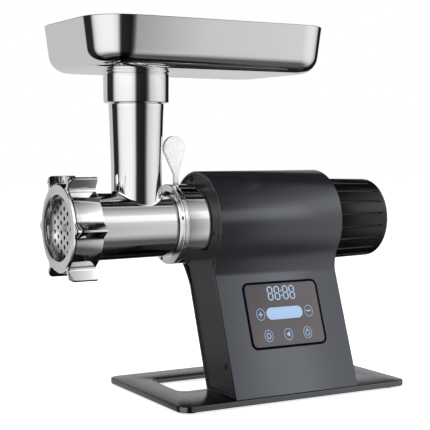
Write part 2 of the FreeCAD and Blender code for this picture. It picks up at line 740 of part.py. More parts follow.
def make_stage(letter, sun):
    """Sun and three planets in mesh at rest; the first planet is towards the front."""
    planet_teeth = int(value("planet_teeth"))
    reach = value("gear_module * (sun_teeth + planet_teeth) / 2")
    shape_node("sun_" + letter, sun, value("sun_%s_start" % letter))
    for number in range(3):
        round_angle = math.radians(120 * number)
        tooth = round_angle + math.pi / planet_teeth
        planet = gear_solid(planet_teeth, tooth, value("planets_%s_length" % letter),
                            value("pin_bore"))
        shape_node("planet_%s_%d" % (letter, number + 1), planet,
                   value("planets_%s_start" % letter),
                   -reach * math.cos(round_angle), reach * math.sin(round_angle))


def carrier_pins(body, start, length):
    reach = "(gear_module * (sun_teeth + planet_teeth) / 2)"
    sketch = sketch_on(body, "YZ_Plane", start)
    for turn in (0, 120, 240):
        across, upward = on_circle(reach, str(turn))
        circle(sketch, across, upward, "pin_radius")
    pad(body, sketch, length)


def make_gearbox():
    turned("gearbox_cover", [("cover_front", "bearing_outer"), ("cover_front", "can_radius"),
                             ("cover_back", "can_radius"), ("cover_back", "bearing_outer")])
    turned("output_bearing", [
        ("cover_front", "shaft_bearing"), ("cover_front", "bearing_outer"),
        ("cover_back", "bearing_outer"), ("cover_back", "shaft_bearing")])
    make_ring_gear()
    teeth = int(value("sun_teeth"))
    make_stage("a", gear_solid(teeth, 0, value("sun_a_length"),
                               value("rotor_radius + press_gap")))
    stub = Part.makeCylinder(value("stub_radius"), value("stub_length"), FreeCAD.Vector(),
                             FreeCAD.Vector(1, 0, 0))
    make_stage("b", gear_solid(teeth, 0, value("sun_b_length")).fuse(stub))
    carrier = turned("carrier_a", [
        ("carrier_a_front", "stub_radius + press_gap"), ("carrier_a_front", "carrier_radius"),
        ("carrier_a_back", "carrier_radius"), ("carrier_a_back", "stub_radius + press_gap")])
    carrier_pins(carrier, "pins_a_start", "pins_a_length")


def make_output_shaft():
    body = turned("output_shaft", [
        ("shaft_nose", "0"), ("shaft_nose", "shaft_radius"), ("carrier_b_front", "shaft_radius"),
        ("carrier_b_front", "carrier_radius"), ("carrier_b_back", "carrier_radius"),
        ("carrier_b_back", "0")])
    carrier_pins(body, "pins_b_start", "pins_b_length")
    socket = sketch_on(body, "YZ_Plane", "socket_end")
    box_outline(socket, "-socket_half", "socket_half", "-socket_half", "socket_half")
    pocket(body, socket, "socket_end - shaft_nose")


def make_cap():
    body = turned("motor_cap", [
        ("housing_half - plate_recess", "can_radius + cap_seat"),
        ("housing_half - plate_recess", "cap_radius"), ("cap_end", "cap_tip"),
        ("cap_end", "0"), ("cap_end - cap_wall", "0"),
        ("cap_end - cap_wall", "cap_tip - cap_wall"), ("can_end", "can_radius + cap_seat")])
    end = value("cap_end")
    tip = value("cap_tip")
    dress(body, "Fillet", lambda edge: edge.Curve.TypeId == "Part::GeomCircle"
          and abs(edge.Curve.Radius - tip) < TOUCH and abs(edge.BoundBox.XMin - end) < TOUCH,
          "cap_round")
    flute = sketch_on(body, "YZ_Plane", "cap_end - flute_stop")
    box_outline(flute, "cap_tip - flute_depth", "cap_radius + flute_over",
                "-flute_width / 2", "flute_width / 2")
    polar(body, pocket(body, flute, "cap_end - flute_stop - housing_half"), "flute_count")
    vent = sketch_on(body, "YZ_Plane", "cap_end")
    box_outline(vent, "vent_inner", "vent_outer", "-vent_half", "vent_half")
    polar(body, pocket(body, vent, "cap_wall"), "vent_count")


# ---------------------------------------------------------------- cutting head

def make_collar():
    """Socket that the head plugs into, with a tapped hole for the locking screw."""
    body = turned("head_collar", [
        ("collar_front", "spigot_bore"), ("collar_front", "collar_radius"),
        ("-housing_half + plate_recess", "collar_radius"),
        ("-housing_half + plate_recess", "collar_hub"), ("collar_floor", "collar_hub"),
        ("collar_floor", "spigot_bore")])
    hole = sketch_on(body, "XY_Plane", "collar_radius + lift")
    circle(hole, "lever_x", "0", "lever_screw_bore")
    pocket(body, hole, "lever_hole_depth")


def circle_edge(edge, x, radius):
    """True for a ring edge of this radius round the barrel axis at this x."""
    box = edge.BoundBox
    return (edge.Curve.TypeId == "Part::GeomCircle" and abs(edge.Curve.Radius - radius) < TOUCH
            and abs(box.XMin - x) < TOUCH and box.XLength < TOUCH)


def make_casting():
    """Barrel and feed tube in one; z is measured from the barrel axis here."""
    body = turned("head_casting", [
        ("head_back", "bush_radius"), ("head_back", "spigot_radius"),
        ("collar_front - joint_gap", "spigot_radius"),
        ("collar_front - joint_gap", "head_flange"),
        ("collar_front - joint_gap - flange_thick", "head_flange"),
        ("collar_front - joint_gap - flange_thick", "barrel_radius"),
        ("mouth_start + mouth_slope", "barrel_front"), ("mouth_start", "mouth_radius"),
        ("mouth_end", "mouth_radius"), ("mouth_end", "disc_radius + disc_slack"),
        ("plate_seat", "disc_radius + disc_slack"), ("plate_seat", "chamber_radius"),
        ("chamber_start", "chamber_radius"), ("chamber_start + chamber_cone", "barrel_bore"),
        ("bore_end", "barrel_bore"), ("bore_end", "bush_radius")])
    NODES.remove(body)
    root = value("collar_front - joint_gap - flange_thick")
    barrel = value("barrel_radius")
    dress(body, "Fillet", lambda edge: circle_edge(edge, root, barrel), "flange_blend")
    tube = sketch_on(body, "XZ_Plane")
    polygon(tube, [
        ("feed_x", "feed_root"), ("feed_x + feed_low", "feed_root"),
        ("feed_x + feed_low", "feed_knee"), ("feed_x + feed_high", "feed_shoulder"),
        ("feed_x + feed_lip", "feed_shoulder + lip_rise"),
        ("feed_x + feed_lip", "feed_top - axis_height"), ("feed_x", "feed_top - axis_height")])
    axis = tube.addGeometry(Part.LineSegment(
        FreeCAD.Vector(value("feed_x"), 0, 0),
        FreeCAD.Vector(value("feed_x"), value("feed_shoulder"), 0)), True)
    fix(tube, "DistanceX", axis, 1, "feed_x")
    fix(tube, "DistanceY", axis, 1, "0")
    fix(tube, "DistanceX", axis, 2, "feed_x")
    fix(tube, "DistanceY", axis, 2, "feed_shoulder")
    revolve(body, tube, "Axis0")
    feed = value("feed_low")
    middle = value("feed_x")
    wide = value("barrel_front")

    def saddle(edge):
        box = edge.BoundBox
        spread = max(abs(box.XMin - middle + feed), abs(box.XMax - middle - feed))
        return spread < 0.5 and box.YLength > feed and barrel - 1 < box.ZMax < wide + 1

    dress(body, "Fillet", saddle, "feed_blend")
    for start, radius, depth in (
            ("feed_top - axis_height", "feed_bore", "feed_top - axis_height"),
            ("feed_top - axis_height", "neck_seat", "neck_seat_depth"),
            ("relief_top", "feed_relief", "relief_top")):
        bore = sketch_on(body, "XY_Plane", start)
        circle(bore, "feed_x", "0", radius)
        pocket(body, bore, depth)
    chamber = sketch_on(body, "YZ_Plane", "bore_end")
    circle(chamber, "0", "0", "barrel_bore")
    pocket(body, chamber, "bore_end - auger_end")
    key = sketch_on(body, "YZ_Plane", "plate_seat")
    box_outline(key, "-key_half", "key_half", "disc_radius - key_sink", "key_reach")
    pocket(body, key, "plate_seat - mouth_end")
    return body


def make_head():
    """The feed tube stands in a shallow round seat cut into the top of the barrel."""
    casting = make_casting()
    column = primitive("Cylinder", "seat_column", {"Radius": "feed_split",
                                                   "Height": "feed_top - axis_height + lift"})
    place(column, "feed_x", "0", "axis_height")
    core = primitive("Cylinder", "seat_core", {"Radius": "feed_seat", "Height": "3 * feed_split"})
    turn_to_x(core)
    place(core, "feed_x - 1.5 * feed_split", "0", "axis_height")
    seat = boolean("Cut", "feed_seat", column, core)
    NODES.append(boolean("Cut", "head_barrel", casting, seat))
    NODES.append(boolean("Common", "feed_tube", casting, seat))
    turned("auger_bush", [("bore_end", "journal_bore"), ("bore_end", "bush_radius"),
                          ("head_back", "bush_radius"), ("head_back", "journal_bore")])
    key = extruded("plate_key", "mouth_end", "plate_seat - mouth_end", lambda s: box_outline(
        s, "-key_half", "key_half", "disc_radius - key_foot", "key_reach"))
    place(key, z="axis_height")


def flight_solid(start, end):
    """Screw thread of the auger from start to end, with a trapezium cross-section."""
    reach = value("auger_radius")
    root = value("auger_root - flight_sink")
    half = value("flight_thick / 2")
    tip = value("flight_thick / 2 * flight_tip")
    helix = Part.makeHelix(value("auger_pitch"), end - start, value("auger_root"))
    corners = [(root, -half), (reach, -tip), (reach, tip), (root, half), (root, -half)]
    outline = Part.makePolygon([FreeCAD.Vector(radius, 0, along) for radius, along in corners])
    flight = Part.Wire(helix).makePipeShell([outline], True, True)
    flight.rotate(FreeCAD.Vector(), FreeCAD.Vector(0, 1, 0), 90)
    flight.translate(FreeCAD.Vector(start, 0, 0))
    return flight


def make_auger():
    """Shank, tapered root and one helical flight, made as one casting."""
    x_axis = FreeCAD.Vector(1, 0, 0)

    def rod(radius, start, end):
        return Part.makeCylinder(value(radius), end - start, FreeCAD.Vector(start, 0, 0), x_axis)

    def bar(half, start, end):
        corner = FreeCAD.Vector(start, -half, -half)
        return Part.makeBox(end - start, 2 * half, 2 * half, corner)

    start = value("auger_end")
    end = value("auger_start")
    shank = value("bore_end")
    tail = value("head_back")
    nose = value("knife_front")
    solid = Part.makeCone(value("auger_nose"), value("auger_root"), shank - start,
                          FreeCAD.Vector(start, 0, 0), x_axis)
    solid = solid.fuse([
        rod("journal_radius", shank, tail + value("journal_end")), flight_solid(start, end),
        bar(value("tang_half"), tail, tail + value("tang_length")),
        bar(value("knife_half - knife_slack"), nose, start)])
    solid = solid.common(rod("auger_radius", value("nut_front"), 0))
    drill = rod("stud_radius", nose, start + value("stud_depth"))
    shape_node("auger", solid.cut(drill).removeSplitter())
    turned("auger_stud", [("plate_seat - disc_thick - stud_nose", "0"),
                          ("plate_seat - disc_thick - stud_nose", "stud_radius"),
                          ("auger_end + stud_depth", "stud_radius"),
                          ("auger_end + stud_depth", "0")])


def make_knife():
    body = node("knife")
    hub = sketch_on(body, "YZ_Plane", "knife_front")
    circle(hub, "0", "0", "knife_hub")
    pad(body, hub, "knife_back - knife_front")
    blade = sketch_on(body, "YZ_Plane", "knife_front")
    polygon(blade, [("0", "-blade_low"), ("knife_reach", "-blade_tip_low"),
                    ("knife_reach", "blade_tip_high"), ("0", "blade_high")])
    polar(body, pad(body, blade, "knife_back - knife_front - knife_step"), "4")
    hole = sketch_on(body, "YZ_Plane", "knife_back")
    box_outline(hole, "-knife_half", "knife_half", "-knife_half", "knife_half")
    pocket(body, hole, "knife_back - knife_front")
    place(body, z="axis_height")


def disc_hole_spots():
    """Honeycomb of holes with upright columns and none in the middle."""
    rings = int(value("disc_rings"))
    spots = []
    for column in range(-rings, rings + 1):
        count = 2 * rings + 1 - abs(column)
        for row in range(count):
            step = row - (count - 1) / 2
            if column or step:
                spots.append(("%d * disc_pitch * sqrt(3) / 2" % column, "%s * disc_pitch" % step))
    return spots


def make_grinding_plate():
    body = turned("grinding_plate", [
        ("plate_seat - disc_thick", "stud_bore"), ("plate_seat - disc_thick", "disc_radius"),
        ("plate_seat", "disc_radius"), ("plate_seat", "stud_bore")])
    holes = sketch_on(body, "YZ_Plane", "plate_seat")
    for across, upward in disc_hole_spots():
        circle(holes, across, upward, "disc_hole")
    pocket(body, holes, "disc_thick")
    notch = sketch_on(body, "YZ_Plane", "plate_seat")
    box_outline(notch, "-key_half - notch_slack", "key_half + notch_slack",
                "disc_radius - notch_foot", "disc_radius + notch_over")
    pocket(body, notch, "disc_thick")


def nut_fins(body, turn, outline):
    """Two opposite fins on the ring nut, turned up from level."""
    sketch = sketch_on(body, "YZ_Plane", "nut_front + fin_setback")
    sketch.AttachmentOffset = FreeCAD.Placement(
        FreeCAD.Vector(), FreeCAD.Rotation(FreeCAD.Vector(0, 0, 1), turn))
    polygon(sketch, outline)
    polar(body, pad(body, sketch, "nut_back - nut_front - fin_setback"), "2")


def make_ring_nut():
    body = turned("ring_nut", [
        ("nut_front", "nut_opening + nut_opening_edge"), ("nut_front", "nut_radius - nut_edge"),
        ("nut_front + nut_edge", "nut_radius"), ("nut_back", "nut_radius"),
        ("nut_back", "nut_bore"), ("nut_front + nut_lip", "nut_bore"),
        ("nut_front + nut_lip", "nut_opening"), ("nut_front + nut_opening_edge", "nut_opening")])
    foot = "nut_radius - fin_sink"
    tab = [(foot, "tab_half + tab_root"), ("nut_radius + tab_root / 4", "tab_half + tab_root / 4"),
           ("nut_radius + tab_root", "tab_half"), ("tab_reach", "tab_half")]
    ridge = [(foot, "ridge_half"), ("ridge_reach", "ridge_tip")]
    for turn, side in ((0, ridge), (60, tab), (120, tab)):
        other = [(reach, "-(%s)" % half) for reach, half in reversed(side)]
        nut_fins(body, turn, side + other)
    front = value("nut_front + fin_setback")
    edge_reach = value("ridge_reach") - 1

    def fin_corner(edge):
        ends = [math.hypot(point.Y, point.Z) for point in edge.Vertexes]
        return edge.BoundBox.XMax < front + TOUCH and min(ends) > edge_reach

    dress(body, "Fillet", fin_corner, "fin_round")


# ---------------------------------------------------------------- hopper and lever

def tray_block(name, inset):
    """Solid with the tray's outline, drafted walls and rounded floor, drawn in by inset."""
    body = doc.addObject("PartDesign::Body", name)
    rim = sketch_on(body, "XY_Plane", "tray_rim + %s" % inset)
    rounded_box(rim, "tray_left + " + inset, "tray_right - " + inset,
                "tray_front + " + inset, "tray_back - " + inset, "tray_corner - " + inset)
    pad(body, rim, "tray_rim - tray_bottom", reverse=True, taper="-tray_draft")
    low = body.Tip.Shape.BoundBox.ZMin
    dress(body, "Fillet", lambda edge: edge.BoundBox.ZMax < low + TOUCH,
          "tray_fillet - " + inset)
    return body


def make_tray():
    hole = primitive("Cylinder", "tray_hole", {"Radius": "tray_hole", "Height": "tray_wall * 4"})
    place(hole, "feed_x", "0", "tray_bottom - tray_wall")
    pan = boolean("Cut", "tray_pan", tray_block("tray_outside", "0"),
                  tray_block("tray_inside", "tray_wall"))
    NODES.append(boolean("Cut", "hopper_tray", pan, hole))


def make_neck():
    body = node("hopper_neck")
    sketch = sketch_on(body, "XZ_Plane")
    low = "feed_top - neck_seat_depth + neck_gap"
    polygon(sketch, [
        ("feed_bore", low), ("neck_spigot", low), ("neck_spigot", "neck_bottom"),
        ("neck_low", "neck_bottom"), ("neck_high", "tray_bottom - neck_flange_thick"),
        ("neck_flange", "tray_bottom - neck_flange_thick"), ("neck_flange", "tray_bottom"),
        ("tray_hole", "tray_bottom"), ("tray_hole - funnel_edge", "neck_bottom + funnel_rise"),
        ("feed_bore", "neck_bottom")])
    revolve(body, sketch, "V_Axis")
    place(body, x="feed_x")


def make_lever():
    body = node("locking_lever")
    sketch = sketch_on(body, "XZ_Plane", "-lever_half")
    polygon(sketch, [
        ("-lever_neck", "lever_low"), ("lever_neck", "lever_low"),
        ("lever_neck", "lever_shoulder"), ("grip_right_u", "grip_right_z"),
        ("grip_left_u", "grip_left_z"), ("-lever_neck", "lever_shoulder")])
    pad(body, sketch, "2 * lever_half")
    top = sketch_on(body, "XZ_Plane", "-lever_half")
    circle(top, "grip_u", "grip_z", "grip_radius")
    pad(body, top, "2 * lever_half")
    shoulder = value("lever_shoulder")
    dress(body, "Fillet", lambda edge: abs(edge.BoundBox.ZMin - shoulder) < TOUCH
          and edge.BoundBox.ZLength < TOUCH, "lever_blend")
    place(body, x="lever_x")
    screw = node("lever_screw")
    sketch = sketch_on(screw, "XY_Plane", "lever_screw_end")
    circle(sketch, "0", "0", "lever_screw_radius")
    pad(screw, sketch, "lever_low - lever_screw_end")
    place(screw, x="lever_x")


# ---------------------------------------------------------------- build and export

def centre_origin():
    """Bring the middle of the machine's length, from ring nut to motor cap, to X = 0."""
    for item in NODES:
        bound = dict(item.ExpressionEngine)
        here = next((text for path, text in bound.items() if path.endswith("Placement.Base.x")),
                    str(item.Placement.Base.x))
        bind_text = "(%s) - (Sizes.nut_front + Sizes.cap_end) / 2" % here
        item.setExpression("Placement.Base.x", bind_text)


def export():
    """Check every object, then write one file for each sub-part."""
    doc.recompute()
    for item in doc.Objects:
        if "Invalid" in item.State or "Error" in item.State:
            raise RuntimeError("failed object: %s %s" % (item.Label, item.State))
    for item in NODES:
        if item.Shape.isNull() or not item.Shape.isValid():
            raise RuntimeError("bad shape: " + item.Label)
    os.makedirs("parts", exist_ok=True)
    for item in NODES:
        item.Shape.exportStep("parts/%s.step" % item.Label)
        print("%-20s solids %d  volume %.0f" % (item.Label, len(item.Shape.Solids),
                                                item.Shape.Volume))


make_base()
make_feet()
make_base_screws()
make_housing()
make_end_plates()
plate_screws("front_plate_screws", "-housing_half + plate_recess", -1)
plate_screws("rear_plate_screws", "housing_half - plate_recess", 1)
make_panel()
make_inlet()
make_motor()
make_gearbox()
make_output_shaft()
make_cap()
make_collar()
make_head()
make_auger()
make_knife()
make_grinding_plate()
make_ring_nut()
make_tray()
make_neck()
make_lever()
centre_origin()
export()
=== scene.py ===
import math

import bmesh
import bpy
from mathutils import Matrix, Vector


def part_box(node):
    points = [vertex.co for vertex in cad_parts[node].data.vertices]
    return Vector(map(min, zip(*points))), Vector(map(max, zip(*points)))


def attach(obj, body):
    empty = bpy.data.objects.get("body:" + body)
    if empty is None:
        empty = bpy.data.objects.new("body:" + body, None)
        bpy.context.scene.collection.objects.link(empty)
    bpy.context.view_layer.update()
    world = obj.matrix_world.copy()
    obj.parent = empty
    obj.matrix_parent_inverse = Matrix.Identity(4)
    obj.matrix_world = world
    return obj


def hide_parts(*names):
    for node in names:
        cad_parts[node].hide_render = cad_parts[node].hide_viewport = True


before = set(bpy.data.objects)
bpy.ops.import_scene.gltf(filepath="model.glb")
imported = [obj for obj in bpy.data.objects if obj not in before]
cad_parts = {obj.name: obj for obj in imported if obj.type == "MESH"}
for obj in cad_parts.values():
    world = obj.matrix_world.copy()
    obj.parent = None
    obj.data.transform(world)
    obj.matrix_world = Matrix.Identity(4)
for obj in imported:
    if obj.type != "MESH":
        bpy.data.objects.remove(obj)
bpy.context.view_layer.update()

# Countertop meat grinder. Sizes below are millimetres, measured along X from the middle of the
# base plate and up from the floor; spot() turns them into metres in the CAD frame, and extent()
# takes a CAD node's corners the other way. Radii and turns are about the barrel's axis.
MM = 0.001
# Smallest radius of a turned profile: it closes on the axis without a point of zero size.
THIN = 0.01
# Sides of the large turned shapes.
ROUND_STEPS = 192

BASE_X = sum(corner.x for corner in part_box("base_plate")) / 2


def spot(x, y, z):
    return Vector((x * MM + BASE_X, y * MM, z * MM))


def extent(node):
    """Lowest and highest corner of a CAD node at rest, in millimetres."""
    return [(corner - Vector((BASE_X, 0, 0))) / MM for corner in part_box(node)]


BASE_FROM, BASE_TO = extent("base_plate")
SHELL_FROM, SHELL_TO = extent("housing_shell")
CAP_FROM, CAP_TO = extent("motor_cap")
COLLAR_FROM, COLLAR_TO = extent("head_collar")
HEAD_FROM, HEAD_TO = extent("head_barrel")
FEED_FROM, FEED_TO = extent("feed_tube")
NUT_FROM, NUT_TO = extent("ring_nut")
DISC_FROM, DISC_TO = extent("grinding_plate")
TRAY_FROM, TRAY_TO = extent("hopper_tray")
NECK_FROM, NECK_TO = extent("hopper_neck")
LEVER_FROM, LEVER_TO = extent("locking_lever")
PANEL_FROM, PANEL_TO = extent("panel_bezel")
AXIS = (COLLAR_FROM.z + COLLAR_TO.z) / 2

# base plate and feet
BASE_LOW = BASE_FROM.z
DECK = BASE_TO.z
BASE_CORNER = 11.0
BASE_EDGE = 0.7
SLOT_HALF_X = 98.0
SLOT_FRONT = -19.0
SLOT_BACK = 50.0
SLOT_CORNER = 10.0
FOOT_X = 114.0
FOOT_Y = 67.0
FOOT_R = 8.0
FOOT_EDGE = 0.8
# housing; each crease is the distance up the leaning wall where the hollow blend starts
HALF = SHELL_TO.x
ROUND = SHELL_TO.y
LEAN = math.radians(19.6)
FOOT_FRONT = SHELL_FROM.y
FOOT_BACK = -21.5
CREASE = 119.0
BACK_CREASE = 104.0
CREASE_ANGLE = math.radians(9)
WALL = 3.0
HOUSING_EDGE = 0.7
# end plates and screws; turns in degrees from the panel side, upwards
PLATE_FACE = CAP_FROM.x
SCREW_CIRCLE = 45.4
SCREW_TURNS = (-13, 107, 227)
LOW_SCREW = (-56.0, 36.0)
SCREW_R = 2.8
SCREW_HEIGHT = 1.2
FLANGE_SCREW_CIRCLE = 35.4
FLANGE_SCREW_TURNS = (13, 133, 253)
FLANGE_SCREW_R = 1.9
FLANGE_SCREW_HEIGHT = 0.4
# motor cap
CAP_END = CAP_TO.x
CAP_R = CAP_TO.y
CAP_TIP_R = 41.0
CAP_FACE_R = 31.0
CAP_SEAT_R = 39.0
CAP_ROUND = 4.0
FLUTES = 20
FLUTE_WIDTH = math.radians(3.3)
FLUTE_DEPTH = 1.15
FLUTE_FADE = 125.0
FLUTE_END = 129.4
# cutting head
COLLAR_FRONT = COLLAR_FROM.x
COLLAR_R = COLLAR_TO.z - AXIS
COLLAR_BORE = 31.1
COLLAR_FLOOR = -74.0
COLLAR_HUB = 14.0
HEAD_BACK = HEAD_TO.x
SPIGOT_R = 31.0
FLANGE_BACK = COLLAR_FRONT - 0.4
FLANGE_R = HEAD_TO.z - AXIS
FLANGE_FACE = FLANGE_BACK - 4.6
BARREL_R = 31.2
BARREL_FRONT_R = 32.2
BARREL_FRONT = -187.0
BARREL_BORE = 27.0
BORE_END = -100.0
MOUTH_START = -192.0
MOUTH_END = HEAD_FROM.x
MOUTH_R = 37.9
PLATE_SEAT = DISC_TO.x
PLATE_R = 35.1
CHAMBER_START = -194.0
CHAMBER_R = 31.5
BUSH_R = 13.0
FEED_X = (FEED_FROM.x + FEED_TO.x) / 2
FEED_LOW = 24.3
FEED_HIGH = 26.1
FEED_LIP = 26.4
FEED_BLEND = 3.0
SADDLE_SINK = 0.995
FEED_TOP = FEED_TO.z
FEED_BORE = 20.5
FEED_KNEE = 226.5
FEED_SHOULDER = 280.5
LIP_LOW = 283.5
NECK_SEAT = 275.5
NECK_SEAT_R = 23.9
THROAT_END = 195.0
# hopper
NECK_LOW = NECK_FROM.z
NECK_SPIGOT_R = 23.84
NECK_BOTTOM = 288.0
NECK_R = 31.2
NECK_TOP_R = 31.4
NECK_TOP = 315.2
NECK_FLANGE_R = (NECK_TO.x - NECK_FROM.x) / 2
NECK_FLANGE_LOW = 316.3
TRAY_HOLE = 27.0
TRAY_BOTTOM = TRAY_FROM.z
TRAY_RIM = TRAY_TO.z
TRAY_CORNER = 38.0
TRAY_WALL = 1.4
TRAY_FILLET = 18.0
TRAY_DRAFT = math.radians(7.5)
TRAY_EDGE_STEPS = 12
TRAY_WALL_STEPS = 6
# ring nut
NUT_FRONT = NUT_FROM.x
NUT_BACK = NUT_TO.x
NUT_R = 42.0
NUT_BORE = 38.2
NUT_OPENING = 31.0
NUT_STEP = DISC_FROM.x
TAB_REACH = 54.7
TAB_HALF = 1.9
RIDGE_REACH = NUT_TO.y
RIDGE_HALF = 7.2
RIDGE_TIP = 0.9
FIN_COUNT = 6
FIN_ROUND = 5.0
FIN_SETBACK = 0.6
# locking lever
LEVER_X = -93.0
LEVER_LOW = LEVER_FROM.z
LEVER_HALF = LEVER_TO.y
LEVER_NECK = 2.4
LEVER_SHOULDER = 219.0
GRIP_U = -2.3
GRIP_Z = 245.0
GRIP_R = 11.6
# panel, u across and v up the leaning face
PANEL_HALF = PANEL_TO.x
PANEL_LOW = 44.8
PANEL_HIGH = 111.5
PANEL_CORNER = 7.0
BEZEL = 2.3
BEZEL_TOP = 1.0
GLASS_TOP = 0.8
PRINT_TOP = 0.87
DIGIT_LEFTS = (-15.5, -7.6, 2.2, 9.8)
DIGIT_LOW = 93.0
DIGIT_WIDE = 5.1
DIGIT_HIGH = 12.8
DIGIT_STROKE = 1.25
COLON_U = -0.1
COLON_LEVELS = (96.6, 101.6)
# left, right, low and high side of the bar; centre of each touch key
BAR = (-21.3, 20.7, 73.2, 85.2)
KEYS = {"plus": (-28, 79.2), "minus": (28, 79.2), "power": (-22.9, 57.7),
        "start": (-0.2, 57.7), "reverse": (22.3, 57.7)}


# ---------------------------------------------------------------- outlines

def polar(radius, angle):
    return Vector((radius * math.cos(angle), radius * math.sin(angle)))


def swing(centre, first, last, steps):
    """Points of the arc about a centre from the end of one arm to the end of another."""
    turn = first.angle(last)
    return [centre + (first * math.sin((1 - step / steps) * turn)
                      + last * math.sin(step / steps * turn)) / math.sin(turn)
            for step in range(steps + 1)]


def arc_between(start, corner, end, radius, steps):
    """Points of the arc that rounds one corner of a polyline."""
    to_start = (start - corner).normalized()
    to_end = (end - corner).normalized()
    half = to_start.angle(to_end) / 2
    reach = min(radius / math.tan(half), (start - corner).length * 0.49,
                (end - corner).length * 0.49)
    true_radius = reach * math.tan(half)
    bisector = (to_start + to_end).normalized()
    centre = corner + bisector * true_radius / math.sin(half)
    return swing(centre, corner + to_start * reach - centre, corner + to_end * reach - centre,
                 steps)


def rounded(corners, radii, steps=6, closed=True):
    """Polyline with each corner rounded by its own radius; 0 keeps it sharp."""
    spots = [Vector(corner) for corner in corners]
    if not isinstance(radii, (list, tuple)):
        radii = [radii] * len(spots)
    result = []
    count = len(spots)
    for index, corner in enumerate(spots):
        ends = not closed and index in (0, count - 1)
        before = spots[index - 1]
        after = spots[(index + 1) % count]
        straight = ends or radii[index] <= 0
        if not straight:
            one = (before - corner).normalized()
            two = (after - corner).normalized()
            straight = one.dot(two) < -0.9999
        if straight:
            result.append(corner)
        else:
            result.extend(arc_between(before, corner, after, radii[index], steps))
    return result


def box_outline(left, right, low, high, corner, steps=8):
    corners = [(left, low), (right, low), (right, high), (left, high)]
    return rounded(corners, corner, steps)


def disc_outline(u, v, radius, count=48, stretch=1.0):
    """Circle, or an ellipse when stretched along v."""
    circle = [polar(radius, 2 * math.pi * step / count) for step in range(count)]
    return [Vector((u + point.x, v + stretch * point.y)) for point in circle]


def inset(outline, amount):
    """Closed outline moved inwards along its corner normals."""
    count = len(outline)
    result = []
    for index, point in enumerate(outline):
        before = (point - outline[index - 1]).normalized()
        after = (outline[(index + 1) % count] - point).normalized()
        normal_a = Vector((-before.y, before.x))
        normal_b = Vector((-after.y, after.x))
        joint = normal_a + normal_b
        result.append(point + joint * amount / max(0.3, 1 + normal_a.dot(normal_b)))
    return result


# ---------------------------------------------------------------- meshes

def finish_mesh(name, vertices, faces, sharp=35.0):
    """Smooth-shaded object from points and faces; edges past the sharp angle stay crisp."""
    mesh = bpy.data.meshes.new(name)
    mesh.from_pydata([tuple(point) for point in vertices], [], faces)
    work = bmesh.new()
    work.from_mesh(mesh)
    bmesh.ops.remove_doubles(work, verts=work.verts, dist=1e-7)
    bmesh.ops.recalc_face_normals(work, faces=work.faces)
    work.to_mesh(mesh)
    work.free()
    mesh.shade_smooth()
    mesh.set_sharp_from_angle(angle=math.radians(sharp))
    item = bpy.data.objects.new(name, mesh)
    bpy.context.scene.collection.objects.link(item)
    return item


def skin(rows, close_rows=False, cap_ends=False):
    """Faces over rows of equal length; each row closes on itself."""
    vertices = [point for row in rows for point in row]
    width = len(rows[0])
    faces = []
    total = len(rows)
    for row in range(total if close_rows else total - 1):
        start = row * width
        next_start = ((row + 1) % total) * width
        for step in range(width):
            along = (step + 1) % width
            faces.append((start + step, start + along, next_start + along, next_start + step))
    if cap_ends:
        faces.append(tuple(range(width))[::-1])
        faces.append(tuple(range((total - 1) * width, total * width)))
    return vertices, faces


def ring_x(x, radius, count):
    """Ring about the barrel axis."""
    return [spot(x, -point.x, AXIS + point.y) for point in disc_outline(0, 0, radius, count)]


def ring_z(radius, z, centre_x, centre_y, count):
    """Level ring about an upright axis."""
    return [spot(point.x, point.y, z)
            for point in disc_outline(centre_x, centre_y, radius, count)]


def lathe_x(name, profile, count):
    """Turned piece about the barrel axis from (x, radius) points."""
    rows = [ring_x(x, radius, count) for x, radius in profile]
    return finish_mesh(name, *skin(rows, close_rows=True))


def lathe_z(name, profile, centre_x, centre_y=0.0, count=160):
    """Turned piece about an upright axis from (radius, z) points."""
    rows = [ring_z(radius, z, centre_x, centre_y, count) for radius, z in profile]
    return finish_mesh(name, *skin(rows, close_rows=True))


def slab(name, outline, low, high, edge, lay, hole=None, steps=3, sharp=35.0):
    """Plate between two levels with rounded edges; lay(u, v, w) places a point."""
    def sections(shape, side):
        levels = []
        for step in range(steps + 1):
            angle = math.pi / 2 * step / steps
            levels.append((inset(shape, side * edge * (1 - math.sin(angle))),
                           low + edge * (1 - math.cos(angle))))
        for step in range(steps + 1):
            angle = math.pi / 2 * step / steps
            levels.append((inset(shape, side * edge * (1 - math.cos(angle))),
                           high - edge * (1 - math.sin(angle))))
        return levels

    rows = [[lay(point.x, point.y, level) for point in shape]
            for shape, level in sections(outline, 1)]
    if hole:
        rows += [[lay(point.x, point.y, level) for point in shape]
                 for shape, level in reversed(sections(hole, -1))]
        return finish_mesh(name, *skin(rows, close_rows=True), sharp=sharp)
    return finish_mesh(name, *skin(rows, cap_ends=True), sharp=sharp)


def joined(name, items):
    """One object from several meshes."""
    bpy.ops.object.select_all(action="DESELECT")
    for item in items:
        item.select_set(True)
    bpy.context.view_layer.objects.active = items[0]
    bpy.ops.object.join()
    items[0].name = name
    items[0].data.name = name
    return items[0]


def fit(item, body, material, slot, *nodes):
    """Give a piece its material and its body; it stands for the listed CAD nodes."""
    item.data.materials.clear()
    item.data.materials.append(material)
    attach(item, body)
    if nodes:
        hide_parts(*nodes)
    return item


def face_material(item, material, x, inner, outer):
    """Second material on the flat ring of faces at x between two radii."""
    item.data.materials.append(material)
    centre = spot(x, 0, AXIS)
    for face in item.data.polygons:
        away = face.center - centre
        if abs(away.x) < 0.1 * MM and inner * MM < math.hypot(away.y, away.z) < outer * MM:
            face.material_index = 1


# ---------------------------------------------------------------- materials

# Part of the noise's range that a colour or roughness runs over.
NOISE_SPAN = (0.3, 0.7)


def shader_of(material):
    return material.node_tree.nodes["Principled BSDF"]


